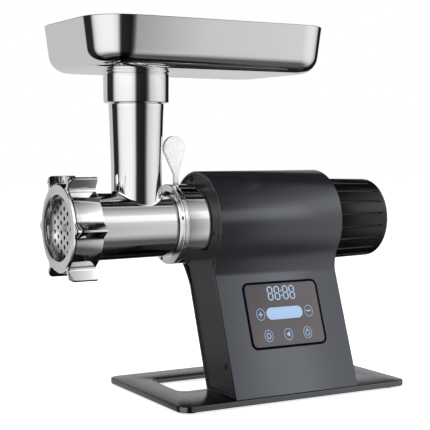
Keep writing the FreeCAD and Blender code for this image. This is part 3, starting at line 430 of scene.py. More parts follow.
def new_material(name, colour, metallic=0.0, roughness=0.5):
    material = bpy.data.materials.new(name)
    material.use_nodes = True
    shader = shader_of(material)
    shader.inputs["Base Color"].default_value = (*colour, 1)
    shader.inputs["Metallic"].default_value = metallic
    shader.inputs["Roughness"].default_value = roughness
    return material


def add_node(material, kind, **inputs):
    item = material.node_tree.nodes.new(kind)
    for field, amount in inputs.items():
        item.inputs[field].default_value = amount
    return item


def link(material, source, output, target, field):
    material.node_tree.links.new(source.outputs[output], target.inputs[field])


def grain(material, scale, stretch=(1, 1, 1), detail=3.0):
    """Noise in the object's own metres, drawn out along chosen axes."""
    place = add_node(material, "ShaderNodeTexCoord")
    mapping = add_node(material, "ShaderNodeMapping", Scale=stretch)
    noise = add_node(material, "ShaderNodeTexNoise", Scale=scale, Detail=detail)
    link(material, place, "Object", mapping, "Vector")
    link(material, mapping, "Vector", noise, "Vector")
    return noise


def vary_colour(material, noise, dark, light):
    ramp = add_node(material, "ShaderNodeValToRGB")
    for element, place, colour in zip(ramp.color_ramp.elements, NOISE_SPAN, (dark, light)):
        element.position = place
        element.color = (*colour, 1)
    link(material, noise, "Fac", ramp, "Fac")
    link(material, ramp, "Color", shader_of(material), "Base Color")


def vary_roughness(material, noise, low, high):
    ends = {"From Min": NOISE_SPAN[0], "From Max": NOISE_SPAN[1], "To Min": low, "To Max": high}
    span = add_node(material, "ShaderNodeMapRange", **ends)
    link(material, noise, "Fac", span, "Value")
    link(material, span, "Result", shader_of(material), "Roughness")


def roughen(material, noise, strength, distance):
    """Bump from the noise, with its depth in metres."""
    bump = add_node(material, "ShaderNodeBump", Strength=strength, Distance=distance)
    link(material, noise, "Fac", bump, "Height")
    link(material, bump, "Normal", shader_of(material), "Normal")


def polished_steel():
    """Mirror finish with faint polishing marks and a slight waviness."""
    material = new_material("polished_steel", (0.93, 0.933, 0.936), 1.0, 0.06)
    vary_roughness(material, grain(material, 60, detail=4), 0.045, 0.09)
    roughen(material, grain(material, 9, detail=1), 0.05, 0.0006)
    return material


def satin_steel(name, colour, low, high, stretch):
    """Fine brushed or turned metal; stretch below 1 draws the grain out along that axis."""
    material = new_material(name, colour, 1.0, low)
    noise = grain(material, 900, stretch)
    vary_roughness(material, noise, low, high)
    roughen(material, noise, 0.12, 0.00005)
    return material


def housing_paint():
    """Fine metallic lacquer over a smooth shell."""
    material = new_material("housing_paint", (0.085, 0.09, 0.1), 0.85, 0.3)
    fine = grain(material, 4200, detail=2)
    vary_colour(material, fine, (0.075, 0.08, 0.09), (0.095, 0.1, 0.11))
    vary_roughness(material, grain(material, 14), 0.23, 0.27)
    roughen(material, fine, 0.05, 0.00004)
    return material


def plastic(name, dark, light, low, high, scale=1800):
    """Moulded or coated surface between two tones and two roughnesses."""
    material = new_material(name, dark, 0.0, low)
    noise = grain(material, scale)
    vary_colour(material, noise, dark, light)
    vary_roughness(material, grain(material, 25), low, high)
    roughen(material, noise, 0.08, 0.00005)
    return material


def milky_plastic():
    """Translucent white of the lever."""
    material = plastic("lever_plastic", (0.86, 0.865, 0.86), (0.9, 0.905, 0.9), 0.28, 0.36, 90)
    shader = shader_of(material)
    shader.inputs["Subsurface Weight"].default_value = 0.5
    shader.inputs["Subsurface Radius"].default_value = (0.004, 0.004, 0.0038)
    shader.inputs["Coat Weight"].default_value = 0.3
    return material


def panel_glass():
    """Smoked touch glass with a faint warm sheen."""
    material = new_material("panel_glass", (0.11, 0.098, 0.098), 0.0, 0.24)
    shader = shader_of(material)
    shader.inputs["Specular IOR Level"].default_value = 0.3
    vary_colour(material, grain(material, 9, detail=1), (0.072, 0.065, 0.069),
                (0.112, 0.101, 0.106))
    vary_roughness(material, grain(material, 40), 0.2, 0.27)
    return material


def lit_mark(name, glow, power):
    """Backlit print, and the painted edge highlight: a dark film with an even glow behind it."""
    material = new_material(name, (0.05, 0.06, 0.08), 0.0, 0.5)
    shader = shader_of(material)
    vary_colour(material, grain(material, 700), (0.045, 0.055, 0.075), (0.055, 0.065, 0.085))
    shader.inputs["Emission Color"].default_value = (*glow, 1)
    shader.inputs["Emission Strength"].default_value = power
    return material


STEEL = polished_steel()
PAINT = housing_paint()
SATIN = satin_steel("satin_face", (0.93, 0.933, 0.936), 0.2, 0.27, (1, 1, 1))


# ---------------------------------------------------------------- housing and base

def waist_point(offset, side):
    """Centre of the hollow blend, where it meets the leaning wall and the round part."""
    up_wall = Vector((math.sin(LEAN), math.cos(LEAN)))
    outward = Vector((-math.cos(LEAN), math.sin(LEAN))) * side
    foot = Vector((FOOT_FRONT if side > 0 else FOOT_BACK, DECK)) - outward * offset
    wall = foot + up_wall * (CREASE if side > 0 else BACK_CREASE)
    bent = LEAN - CREASE_ANGLE * side
    towards = Vector((-math.cos(bent), math.sin(bent))) * side
    centre = Vector((0, AXIS))
    radius = ROUND - offset
    gap = wall - centre
    blend = (gap.length_squared - radius ** 2) / (2 * (radius - towards.dot(gap)))
    middle_point = wall + towards * blend
    ring = centre + (middle_point - centre).normalized() * radius
    return middle_point, wall, ring


def sweep(centre, start, end, steps, clockwise):
    """Arc about a centre from one point to another."""
    first = math.atan2(start.y - centre.y, start.x - centre.x)
    last = math.atan2(end.y - centre.y, end.x - centre.x)
    if clockwise and last > first:
        last -= 2 * math.pi
    if not clockwise and last < first:
        last += 2 * math.pi
    radius = (start - centre).length
    return [centre + polar(radius, first + (last - first) * step / steps)
            for step in range(steps + 1)]


def housing_outline(offset):
    """Keyhole section of the shell, (y, z), drawn in by offset, from the back foot round."""
    front_centre, front_wall, front_ring = waist_point(offset, 1)
    back_centre, back_wall, back_ring = waist_point(offset, -1)
    outline = [Vector((FOOT_BACK + offset * (math.tan(LEAN) - 1 / math.cos(LEAN)),
                       DECK + offset)),
               Vector((FOOT_FRONT + offset * (math.tan(LEAN) + 1 / math.cos(LEAN)),
                       DECK + offset))]
    outline += sweep(front_centre, front_wall, front_ring, 14, False)
    outline += sweep(Vector((0, AXIS)), front_ring, back_ring, 96, True)[1:]
    outline += sweep(back_centre, back_ring, back_wall, 14, False)[1:]
    return outline


def make_housing():
    """Bent sheet shell, open at both ends, with a small round on each end's edges."""
    edge = HOUSING_EDGE
    # distance in from the shell's end, and depth into its wall, across the rounded end
    lip = [(edge, 0), (edge * 0.3, edge * 0.3), (0, edge),
           (0, WALL - edge), (edge * 0.3, WALL - edge * 0.3), (edge, WALL)]
    profile = [(back - HALF, depth) for back, depth in reversed(lip)]
    profile += [(HALF - back, depth) for back, depth in lip]
    rows = [[spot(x, point.x, point.y) for point in housing_outline(offset)]
            for x, offset in profile]
    item = finish_mesh("housing", *skin(rows, close_rows=True), sharp=40)
    return fit(item, "base", PAINT, "housing_paint", "housing_shell")


def make_base():
    outline = box_outline(BASE_FROM.x, BASE_TO.x, BASE_FROM.y, BASE_TO.y, BASE_CORNER, 10)
    slot = box_outline(-SLOT_HALF_X, SLOT_HALF_X, SLOT_FRONT, SLOT_BACK, SLOT_CORNER, 10)
    item = slab("base", outline, BASE_LOW, DECK, BASE_EDGE, spot, hole=slot)
    material = satin_steel("base_steel", (0.152, 0.16, 0.172), 0.2, 0.24, (1, 0.02, 1))
    fit(item, "base", material, "base_steel", "base_plate")
    rubber = plastic("rubber", (0.018, 0.018, 0.018), (0.03, 0.03, 0.03), 0.7, 0.85, 900)
    profile = rounded([(THIN, 0), (FOOT_R, 0), (FOOT_R, BASE_LOW), (THIN, BASE_LOW)],
                      [0, FOOT_EDGE, 0, 0], 4)
    feet = [lathe_z("foot", profile, x, y, 40)
            for x in (-FOOT_X, FOOT_X) for y in (-FOOT_Y, FOOT_Y)]
    fit(joined("feet", feet), "base", rubber, "rubber_foot", "rubber_feet")


# ---------------------------------------------------------------- end plates and screws

def screw_head(name, x, y, z, side, radius=SCREW_R, height=SCREW_HEIGHT):
    """Round socket screw head facing along X, with a six-sided recess."""
    count = 48
    circle = disc_outline(0, 0, radius, count)
    hexagon = []
    for step, point in enumerate(circle):
        sector = (2 * math.pi * step / count) % (math.pi / 3) - math.pi / 6
        hexagon.append(point * 0.48 / math.cos(sector))
    # each ring of the head: outline, its scale, and its level as a share of the height
    rings = ((circle, 1, 0), (circle, 1, 0.6), (circle, 0.93, 0.88), (circle, 0.8, 1),
             (circle, 0.62, 1), (hexagon, 1, 1), (hexagon, 1, 0.25), (hexagon, 0.02, 0.2))
    rows = [[spot(x + side * height * level, y + point.x * scale, z + point.y * scale * side)
             for point in outline] for outline, scale, level in rings]
    return finish_mesh(name, *skin(rows, cap_ends=True), sharp=30)


def circle_spots(radius, turns):
    """Screw centres (y, z) on a circle about the barrel axis."""
    points = [polar(radius, math.radians(turn)) for turn in turns]
    return [(-point.x, AXIS + point.y) for point in points]


def make_screws():
    dark = plastic("black_screw", (0.008, 0.008, 0.009), (0.016, 0.016, 0.017), 0.3, 0.4)
    centres = circle_spots(SCREW_CIRCLE, SCREW_TURNS) + [LOW_SCREW]
    for name, side, node in (("front_screws", -1, "front_plate_screws"),
                             ("rear_screws", 1, "rear_plate_screws")):
        heads = [screw_head("screw", side * PLATE_FACE, y, z, side) for y, z in centres]
        fit(joined(name, heads), "base", dark, "black_screw", node)


# ---------------------------------------------------------------- motor cap

def cap_profile():
    """Half section of the cap, (x, radius): seat, tapering side, rounded end, sunk face."""
    side = [(x, CAP_R - (CAP_R - CAP_TIP_R) * (x - PLATE_FACE) / (CAP_END - PLATE_FACE))
            for x in (124, 126, 127.6, 128.6, FLUTE_END)]
    end = rounded([(PLATE_FACE, CAP_R), (CAP_END, CAP_TIP_R), (CAP_END, CAP_FACE_R)],
                  [0, CAP_ROUND, 0], 8, closed=False)
    face = [(CAP_END - depth, radius) for depth, radius in
            ((0.4, 30.2), (1.5, 29.6), (2.1, 28), (2.1, 12), (1.5, 10.5), (1.5, THIN))]
    return ([(PLATE_FACE, CAP_SEAT_R), (PLATE_FACE + 0.3, CAP_R - 0.3),
             (PLATE_FACE + 0.8, CAP_R - 0.03)] + side
            + [tuple(point) for point in end[1:]] + face)


def flute_angles():
    """Angles round the cap; each has its place across a flute, -1 to 1, or None on a rib."""
    angles = []
    pitch = 2 * math.pi / FLUTES
    for flute in range(FLUTES):
        centre = pitch * (flute + 0.5)
        for share in (-1, -0.85, -0.6, -0.3, 0, 0.3, 0.6, 0.85, 1):
            angles.append((centre + share * FLUTE_WIDTH / 2, share))
        for step in range(1, 6):
            angles.append((centre + FLUTE_WIDTH / 2 + (pitch - FLUTE_WIDTH) * step / 6, None))
    return angles


def make_cap():
    """Ribbed end cap: straight flutes that run out before the rounded end."""
    rows = []
    for x, radius in cap_profile():
        run = 1.0
        if x > FLUTE_FADE:
            run = max(0.0, (FLUTE_END - x) / (FLUTE_END - FLUTE_FADE))
        if radius < CAP_TIP_R - 1 or x < PLATE_FACE + 0.5:
            run = 0.0
        row = []
        for angle, share in flute_angles():
            depth = 0.0 if share is None else FLUTE_DEPTH * run * (1 - abs(share) ** 3)
            across, up = polar(max(radius - depth, THIN), angle)
            row.append(spot(x, -across, AXIS + up))
        rows.append(row)
    item = finish_mesh("cap", *skin(rows), sharp=32)
    material = plastic("cap_plastic", (0.002, 0.002, 0.002), (0.004, 0.004, 0.004), 0.16, 0.22)
    fit(item, "base", material, "cap_plastic", "motor_cap")


# ---------------------------------------------------------------- cutting head

def make_collar():
    profile = rounded([(COLLAR_FRONT, COLLAR_BORE), (COLLAR_FRONT, COLLAR_R),
                       (-PLATE_FACE, COLLAR_R), (-PLATE_FACE, COLLAR_HUB),
                       (COLLAR_FLOOR, COLLAR_HUB), (COLLAR_FLOOR, COLLAR_BORE)],
                      [0.6, 1.1, 0, 0, 0, 0], 5)
    item = lathe_x("collar", profile, ROUND_STEPS)
    fit(item, "base", STEEL, "polished_steel", "head_collar")


def barrel_radius(x):
    """The barrel widens slightly from the flange to the mouth."""
    share = (FLANGE_FACE - x) / (FLANGE_FACE - BARREL_FRONT)
    return BARREL_R + (BARREL_FRONT_R - BARREL_R) * share


def saddle_rows(count, steps):
    """Rings of the rounded saddle where the feed tube leaves the barrel."""
    columns = []
    for step in range(count):
        angle = 2 * math.pi * step / count
        along, across = polar(FEED_LOW + FEED_BLEND, angle)
        radius = barrel_radius(FEED_X + along)
        height = math.sqrt((radius + FEED_BLEND) ** 2 - across ** 2)
        centre = Vector((along, across, height))
        share = radius / (radius + FEED_BLEND)
        on_barrel = Vector((along, across * share, height * share))
        on_tube = Vector((*polar(FEED_LOW, angle), height))
        columns.append([on_barrel * SADDLE_SINK]
                       + swing(centre, on_barrel - centre, on_tube - centre, steps))
    return [[spot(FEED_X + column[part].x, column[part].y, AXIS + column[part].z)
             for column in columns] for part in range(steps + 2)]


def feed_skin():
    """Feed tube: the saddle, the widening outside, the lip, then down inside the bore."""
    rows = saddle_rows(ROUND_STEPS, 10)
    tube = rounded([(FEED_LOW, FEED_KNEE), (FEED_HIGH, FEED_SHOULDER), (FEED_LIP, LIP_LOW),
                    (FEED_LIP, FEED_TOP), (NECK_SEAT_R + 0.1, FEED_TOP),
                    (NECK_SEAT_R, NECK_SEAT), (FEED_BORE, NECK_SEAT), (FEED_BORE, THROAT_END)],
                   [30, 6, 4, 1.2, 0.4, 0, 0.4, 0], 6, closed=False)
    rows += [ring_z(point.x, point.y, FEED_X, 0.0, ROUND_STEPS) for point in tube]
    return finish_mesh("feed_tube", *skin(rows), sharp=50)


def barrel_skin():
    """Turned barrel; the wall under the feed tube is left out so that the throat is open."""
    outer = rounded([(HEAD_BACK, 28), (HEAD_BACK, SPIGOT_R), (FLANGE_BACK, SPIGOT_R),
                     (FLANGE_BACK, FLANGE_R), (FLANGE_FACE, FLANGE_R), (FLANGE_FACE, BARREL_R),
                     (BARREL_FRONT, BARREL_FRONT_R), (MOUTH_START, MOUTH_R),
                     (MOUTH_END, MOUTH_R), (MOUTH_END, PLATE_R), (PLATE_SEAT, PLATE_R),
                     (PLATE_SEAT, CHAMBER_R), (CHAMBER_START, CHAMBER_R),
                     (CHAMBER_START + 3, BARREL_BORE), (BORE_END, BARREL_BORE),
                     (BORE_END, BUSH_R), (HEAD_BACK, BUSH_R)],
                    [0.5, 0.8, 0, 0.8, 0.8, 2, 6, 1, 0.6, 0.4, 0, 0.4, 0.6, 0.6, 0.6, 0, 0.5], 6)
    profile = []
    for index, point in enumerate(outer):
        following = outer[(index + 1) % len(outer)]
        profile.append(tuple(point))
        if abs(point.x - following.x) > 40:
            parts = 48
            for step in range(1, parts):
                profile.append(tuple(point.lerp(following, step / parts)))
    rows = [ring_x(x, radius, ROUND_STEPS) for x, radius in profile]
    vertices, faces = skin(rows, close_rows=True)
    centre = spot(FEED_X, 0, AXIS)
    kept = []
    for face in faces:
        corners = [vertices[index] for index in face]
        inside = all(math.hypot(corner.x - centre.x, corner.y) < (FEED_LOW - 1.5) * MM
                     and corner.z > centre.z for corner in corners)
        if not inside:
            kept.append(face)
    return finish_mesh("barrel", vertices, kept, sharp=32)


def make_head():
    barrel = barrel_skin()
    fit(barrel, "head", STEEL, "polished_steel", "head_barrel")
    face_material(barrel, SATIN, FLANGE_FACE, BARREL_R, FLANGE_R - 0.5)
    fit(feed_skin(), "head", STEEL, "polished_steel", "feed_tube")
    screws = [screw_head("flange_screw", FLANGE_FACE, y, z, -1, FLANGE_SCREW_R,
                         FLANGE_SCREW_HEIGHT)
              for y, z in circle_spots(FLANGE_SCREW_CIRCLE, FLANGE_SCREW_TURNS)]
    dark = plastic("flange_hole", (0.01, 0.01, 0.01), (0.02, 0.02, 0.02), 0.3, 0.5)
    fit(joined("flange_screws", screws), "head", dark, "black_screw")


def nut_outline(drop, body):
    """Section of the ring nut, (across, up): six fins, the level pair coming to a ridge."""
    corners = []
    radii = []
    for number in range(FIN_COUNT):
        turn = 2 * math.pi * number / FIN_COUNT
        if number in (0, FIN_COUNT // 2):
            side = [(body - 0.4, RIDGE_HALF, 5.0), (RIDGE_REACH - drop, RIDGE_TIP, 0.7)]
        else:
            side = [(math.sqrt(body ** 2 - TAB_HALF ** 2), TAB_HALF, 3.6),
                    (TAB_REACH - drop, TAB_HALF, 0.8)]
        fin = [(reach, -half, radius) for reach, half, radius in side]
        fin += [(reach, half, radius) for reach, half, radius in reversed(side)]
        for reach, half, radius in fin:
            corners.append(polar(reach, turn) + polar(half, turn + math.pi / 2))
            radii.append(radius)
        for step in range(13):
            corners.append(polar(body, turn + math.radians(15 + 2.5 * step)))
            radii.append(0)
    return rounded(corners, radii, 5)


def nut_row(x, outline, radius=None):
    """Ring of points at x; a radius pulls the outline onto that circle."""
    row = []
    for point in outline:
        scale = radius / point.length if radius else 1
        row.append(spot(x, -point.x * scale, AXIS + point.y * scale))
    return row


def make_nut():
    """Ring nut from its back face to the front, where the fins round off, then down inside."""
    full = nut_outline(0, NUT_R)
    rows = [nut_row(NUT_BACK, full, NUT_BORE + 0.2), nut_row(NUT_BACK, inset(full, 0.7)),
            nut_row(NUT_BACK - 0.2, inset(full, 0.2)), nut_row(NUT_BACK - 0.7, full)]
    fin_front = NUT_FRONT + FIN_SETBACK
    for angle in (0, 15, 30, 45, 60, 75, 90):
        depth = FIN_ROUND * (1 - math.sin(math.radians(angle)))
        drop = FIN_ROUND * (1 - math.cos(math.radians(angle)))
        body = NUT_R - max(0.0, 0.9 - depth)
        rows.append(nut_row(fin_front + depth, nut_outline(drop, body)))
    for x, radius in ((fin_front, NUT_R - 1), (NUT_FRONT, NUT_R - 1.6),
                      (NUT_FRONT, NUT_OPENING + 1.4), (NUT_FRONT + 0.4, NUT_OPENING + 0.4),
                      (NUT_FRONT + 1.2, NUT_OPENING), (NUT_STEP, NUT_OPENING),
                      (NUT_STEP, NUT_BORE)):
        rows.append(nut_row(x, full, radius))
    item = finish_mesh("nut", *skin(rows, close_rows=True), sharp=38)
    fit(item, "nut", STEEL, "polished_steel", "ring_nut")
    face_material(item, SATIN, NUT_FRONT, NUT_OPENING, NUT_R)


# ---------------------------------------------------------------- hopper

def tray_ring(z, draw_in, corner):
    """Level outline of the tray at z, drawn in all round."""
    outline = box_outline(TRAY_FROM.x + draw_in, TRAY_TO.x - draw_in, TRAY_FROM.y + draw_in,
                          TRAY_TO.y - draw_in, corner, 14)
    return [spot(point.x, point.y, z) for point in outline]


def tray_side(offset, bottom, radius):
    """Rings up the rounded floor edge and the leaning wall: (level, drawn in, corner)."""
    full = math.pi / 2 - TRAY_DRAFT
    slope = (TRAY_RIM - bottom) * math.tan(TRAY_DRAFT)
    tangent = radius * math.tan(full / 2)
    rings = []
    for step in range(TRAY_EDGE_STEPS + 1):
        angle = full * step / TRAY_EDGE_STEPS
        inward = slope + offset + tangent - radius * math.sin(angle)
        rings.append((bottom + radius * (1 - math.cos(angle)), inward,
                      max(TRAY_CORNER - inward, 5)))
    level, inward, corner = rings[-1]
    for step in range(1, TRAY_WALL_STEPS + 1):
        share = step / TRAY_WALL_STEPS
        rings.append((level + (TRAY_RIM - level) * share, inward + (offset - inward) * share,
                      corner + (TRAY_CORNER - offset - corner) * share))
    return rings


def make_tray():
    """Thin deep-drawn tray: up the outside, over the rim, down the inside to the throat."""
    rings = tray_side(0.0, TRAY_BOTTOM, TRAY_FILLET)
    rings[-1] = (TRAY_RIM - 0.5, 0.05, TRAY_CORNER)
    rings.append((TRAY_RIM, 0.45, TRAY_CORNER - 0.4))
    rings.append((TRAY_RIM, TRAY_WALL - 0.45, TRAY_CORNER - 1))
    inner = tray_side(TRAY_WALL, TRAY_BOTTOM + TRAY_WALL, TRAY_FILLET - TRAY_WALL)[::-1]
    inner[0] = (TRAY_RIM - 0.5, inner[0][1], inner[0][2])
    rings += inner
    rows = [tray_ring(*ring) for ring in rings]
    centre = spot(FEED_X, 0, 0)

    def hole_row(source, level):
        row = []
        for point in source:
            angle = math.atan2(point.y, point.x - centre.x)
            along, across = polar(TRAY_HOLE, angle)
            row.append(spot(FEED_X + along, across, level))
        return row

    rows = [hole_row(rows[0], TRAY_BOTTOM)] + rows
    rows.append(hole_row(rows[-1], TRAY_BOTTOM + TRAY_WALL))
    item = finish_mesh("tray", *skin(rows, close_rows=True), sharp=40)
    fit(item, "hopper", STEEL, "polished_steel", "hopper_tray")


def make_neck():
    """Spigot in the feed tube, sleeve over it, thin flange under the tray, funnel inside."""
    profile = rounded([(FEED_BORE, NECK_LOW), (NECK_SPIGOT_R, NECK_LOW),
                       (NECK_SPIGOT_R, NECK_BOTTOM), (NECK_R, NECK_BOTTOM),
                       (NECK_TOP_R, NECK_TOP), (NECK_TOP_R - 0.8, NECK_TOP + 0.3),
                       (NECK_TOP_R - 0.8, NECK_FLANGE_LOW), (NECK_FLANGE_R, NECK_FLANGE_LOW),
                       (NECK_FLANGE_R, TRAY_BOTTOM), (TRAY_HOLE, TRAY_BOTTOM),
                       (TRAY_HOLE - 1, NECK_BOTTOM + 4), (FEED_BORE, NECK_BOTTOM)],
                      [0.4, 0.6, 0, 0.9, 0.4, 0, 0, 0.4, 0, 0.5, 2, 0.8], 5)
    item = lathe_z("neck", profile, FEED_X)
    fit(item, "hopper", STEEL, "polished_steel", "hopper_neck")


# ---------------------------------------------------------------- lever

def make_lever():
    """Paddle on a slim neck; the round grip sits a little to one side."""
    grip = Vector((GRIP_U, GRIP_Z))
    dome = [grip + polar(GRIP_R, math.radians(angle)) for angle in range(-16, 207, 6)]
    corners = [(-LEVER_NECK, LEVER_LOW), (LEVER_NECK, LEVER_LOW),
               (LEVER_NECK, LEVER_SHOULDER + 0.5)] + dome + [(-LEVER_NECK, LEVER_SHOULDER)]
    radii = [0.8, 0.8, 8] + [0] * len(dome) + [8]
    shape = rounded(corners, radii, 6)

    def place(u, v, w):
        return spot(LEVER_X + u, w, v)

    item = slab("lever", shape, -LEVER_HALF, LEVER_HALF, 0.9, place, steps=5, sharp=45)
    fit(item, "lever", milky_plastic(), "lever_plastic", "locking_lever")


# ---------------------------------------------------------------- control panel

def on_panel(u, v, w):
    """Point on the leaning face: u across, v up the slope, w out of it."""
    y = FOOT_FRONT + v * math.sin(LEAN) - w * math.cos(LEAN)
    z = DECK + v * math.cos(LEAN) + w * math.sin(LEAN)
    return spot(u, y, z)


def mark(name, outline, hole=None, low=GLASS_TOP, high=PRINT_TOP):
    """Thin printed mark on the glass; the same thin sheet also carries the painted edge
    highlight.
    """
    return slab(name, outline, low, high, 0.02, on_panel, hole=hole, steps=1)


def stroke(start, end):
    """Flat bar with pointed ends, like one segment of a digit."""
    start = Vector(start)
    end = Vector(end)
    along = (end - start).normalized()
    side = Vector((-along.y, along.x)) * DIGIT_STROKE / 2
    tip = along * DIGIT_STROKE / 2
    outline = [start, start + tip - side, end - tip - side, end, end - tip + side,
               start + tip + side]
    return mark("segment", outline)


def make_digit(left, low):
    """Seven-segment eight."""
    half = DIGIT_HIGH / 2
    gap = 0.35
    bars = [stroke((left + gap, low + level), (left + DIGIT_WIDE - gap, low + level))
            for level in (0, half, DIGIT_HIGH)]
    bars += [stroke((u, low + start + gap), (u, low + start + half - gap))
             for u in (left, left + DIGIT_WIDE) for start in (0, half)]
    return bars


def ink(name, marks, material):
    fit(joined(name, marks), "base", material, "panel_face")


def make_display(bright, dim):
    """Clock digits, and the bar under them with its faint lines."""
    digits = []
    for left in DIGIT_LEFTS:
        digits += make_digit(left, DIGIT_LOW)
    digits += [mark("dot", disc_outline(COLON_U, level, 0.8, 20)) for level in COLON_LEVELS]
    ink("digits", digits, bright)
    left, right, low, high = BAR
    ink("bar", [mark("bar", box_outline(left, right, low, high, 5.9, 10))], bright)

    def line(outline, hole=None):
        return mark("bar_line", outline, hole, PRINT_TOP, PRINT_TOP + 0.02)

    lines = [line(box_outline(u - 0.15, u + 0.15, low + 1, high - 1.8, 0.1, 2))
             for u in (-13.5, -4.5, 4.5, 13.5)]
    rims = [box_outline(left + step, right - step, low + step - 1, high - step + 1, corner, 8)
            for step, corner in ((2.4, 4.5), (2.7, 4.2))]
    ink("bar_lines", lines + [line(*rims)], dim)


def make_keys(bright, dim):
    """Ring and sign of each touch key."""
    rings = [mark("icon_ring", disc_outline(u, v, 4.9, 56, 1.22),
                  disc_outline(u, v, 4.35, 56, 1.24)) for u, v in KEYS.values()]
    ink("icon_rings", rings, dim)

    def dash(u, v, half_wide, half_high, high=PRINT_TOP):
        outline = box_outline(u - half_wide, u + half_wide, v - half_high, v + half_high, 0.3, 3)
        return mark("sign", outline, high=high)

    def loop(u, v, outer, outer_stretch, inner, inner_stretch):
        return mark("sign", disc_outline(u, v, outer, 40, outer_stretch),
                    disc_outline(u, v, inner, 40, inner_stretch))

    def wedge(corners, corner, steps):
        return mark("sign", rounded(corners, corner, steps))

    plus, minus, power, start, reverse = [Vector(centre) for centre in KEYS.values()]
    signs = [dash(*plus, 2.4, 0.5), dash(*plus, 0.5, 2.6, PRINT_TOP - 0.01),
             dash(minus.x, minus.y + 0.05, 2.5, 0.65),
             wedge([start + Vector(way) for way in ((-2.5, 0), (1.7, -2.6), (1.7, 2.6))], 0.4, 3),
             loop(power.x, power.y - 0.1, 2.4, 1.3, 1.7, 1.35),
             loop(reverse.x, reverse.y - 0.3, 2.5, 1.2, 1.9, 1.25),
             wedge([reverse + Vector(way) for way in ((-1, 2.5), (1, 2.5), (0, 4.3))], 0.2, 2)]
    ink("icon_signs", signs, bright)


def make_panel():
    outer = box_outline(-PANEL_HALF, PANEL_HALF, PANEL_LOW, PANEL_HIGH, PANEL_CORNER, 10)
    inner = box_outline(-PANEL_HALF + BEZEL, PANEL_HALF - BEZEL, PANEL_LOW + BEZEL,
                        PANEL_HIGH - BEZEL, PANEL_CORNER - BEZEL, 10)
    trim = plastic("panel_trim", (0.001, 0.001, 0.002), (0.002, 0.002, 0.003), 0.3, 0.4)
    shader_of(trim).inputs["Specular IOR Level"].default_value = 0.02
    fit(slab("bezel", outer, -0.2, BEZEL_TOP, 0.3, on_panel, hole=inner), "base", trim,
        "panel_trim", "panel_bezel")
    fit(slab("glass", inner, -0.2, GLASS_TOP, 0.15, on_panel), "base", panel_glass(),
        "panel_face", "panel_glass")
    bright = lit_mark("mark_bright", (0.36, 0.52, 0.74), 1.0)
    dim = lit_mark("mark_dim", (0.27, 0.42, 0.66), 1.0)
    # Painted highlight: a thin navy line that glows along the left inner edge of the bezel.
    edge_highlight_paint = lit_mark("painted_edge_highlight", (0.0, 0.0, 0.16), 1.0)
    glass_edge = -PANEL_HALF + BEZEL
    painted_highlight_line = mark("painted_highlight_strip", box_outline(glass_edge - 0.6, glass_edge + 0.1, PANEL_LOW + 7,
                                              PANEL_HIGH - 9, 0.2, 2),
                     low=0.9, high=0.99)
    fit(painted_highlight_line, "base", edge_highlight_paint, "panel_trim")
    make_display(bright, dim)
    make_keys(bright, dim)


# ---------------------------------------------------------------- CAD nodes that stay

def finish_node(node, material):
    """Smooth shading and a material for a CAD node that stays."""
    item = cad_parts[node]
    item.data.materials.clear()
    item.data.materials.append(material)
    item.data.shade_smooth()
    item.data.set_sharp_from_angle(angle=math.radians(30))


def paint_hole_shade(node):
    """Painted shade: the faces of the perforated plate that don't face along the axis, its bore
    walls among them, are coloured black.
    """
    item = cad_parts[node]
    item.data.materials.append(plastic("painted_hole_shade", (0.004, 0.004, 0.004),
                                       (0.008, 0.008, 0.008), 0.6, 0.8))
    for face in item.data.polygons:
        if abs(face.normal.x) < 0.5:
            face.material_index = 1


def finish_cad():
    """Materials of the CAD nodes that stay as they are."""
    black = plastic("black_plate", (0.012, 0.012, 0.013), (0.02, 0.02, 0.021), 0.34, 0.42, 2600)
    machined = satin_steel("machined_steel", (0.55, 0.555, 0.56), 0.22, 0.34, (1, 1, 0.05))
    ground = satin_steel("ground_steel", (0.82, 0.823, 0.827), 0.2, 0.3, (0.05, 1, 1))
    bronze = satin_steel("bronze", (0.6, 0.4, 0.18), 0.25, 0.35, (1, 0.1, 0.1))
    cast = satin_steel("cast_metal", (0.5, 0.505, 0.51), 0.4, 0.55, (1, 1, 1))
    board = plastic("circuit_board", (0.01, 0.09, 0.035), (0.014, 0.12, 0.05), 0.35, 0.45, 300)
    moulded = plastic("moulded_black", (0.014, 0.014, 0.015), (0.024, 0.024, 0.025), 0.4, 0.5)
    groups = {
        black: ["front_end_plate", "rear_end_plate"],
        machined: ["base_screws", "lever_screw", "output_shaft", "ring_gear", "sun_a", "sun_b",
                   "carrier_a", "plate_key", "motor_can", "motor_armature", "auger_stud"],
        ground: ["grinding_plate", "knife"],
        bronze: ["auger_bush", "output_bearing", "motor_bearings"],
        cast: ["motor_adapter", "gearbox_cover", "stator_magnets"],
        board: ["control_board"],
        moulded: ["power_inlet", "cooling_fan"],
        STEEL: ["auger"],
    }
    for material, nodes in groups.items():
        for node in nodes:
            finish_node(node, material)
    # Painted shade: black bore walls in the grinding plate.
    paint_hole_shade("grinding_plate")
    for letter in "ab":
        for number in (1, 2, 3):
            finish_node("planet_%s_%d" % (letter, number), machined)


# ---------------------------------------------------------------- stage

# The photograph's view: a turn from straight in front of the panel and a tilt down, in degrees.
VIEW_TURN = 29.47
VIEW_TILT = 3.45
VIEW_LENS = 95.15
VIEW_SPOT = (-607.26, -988.2, 246.39)
FLOOR_HALF = 6.0
SHELL_POWER = 1.75
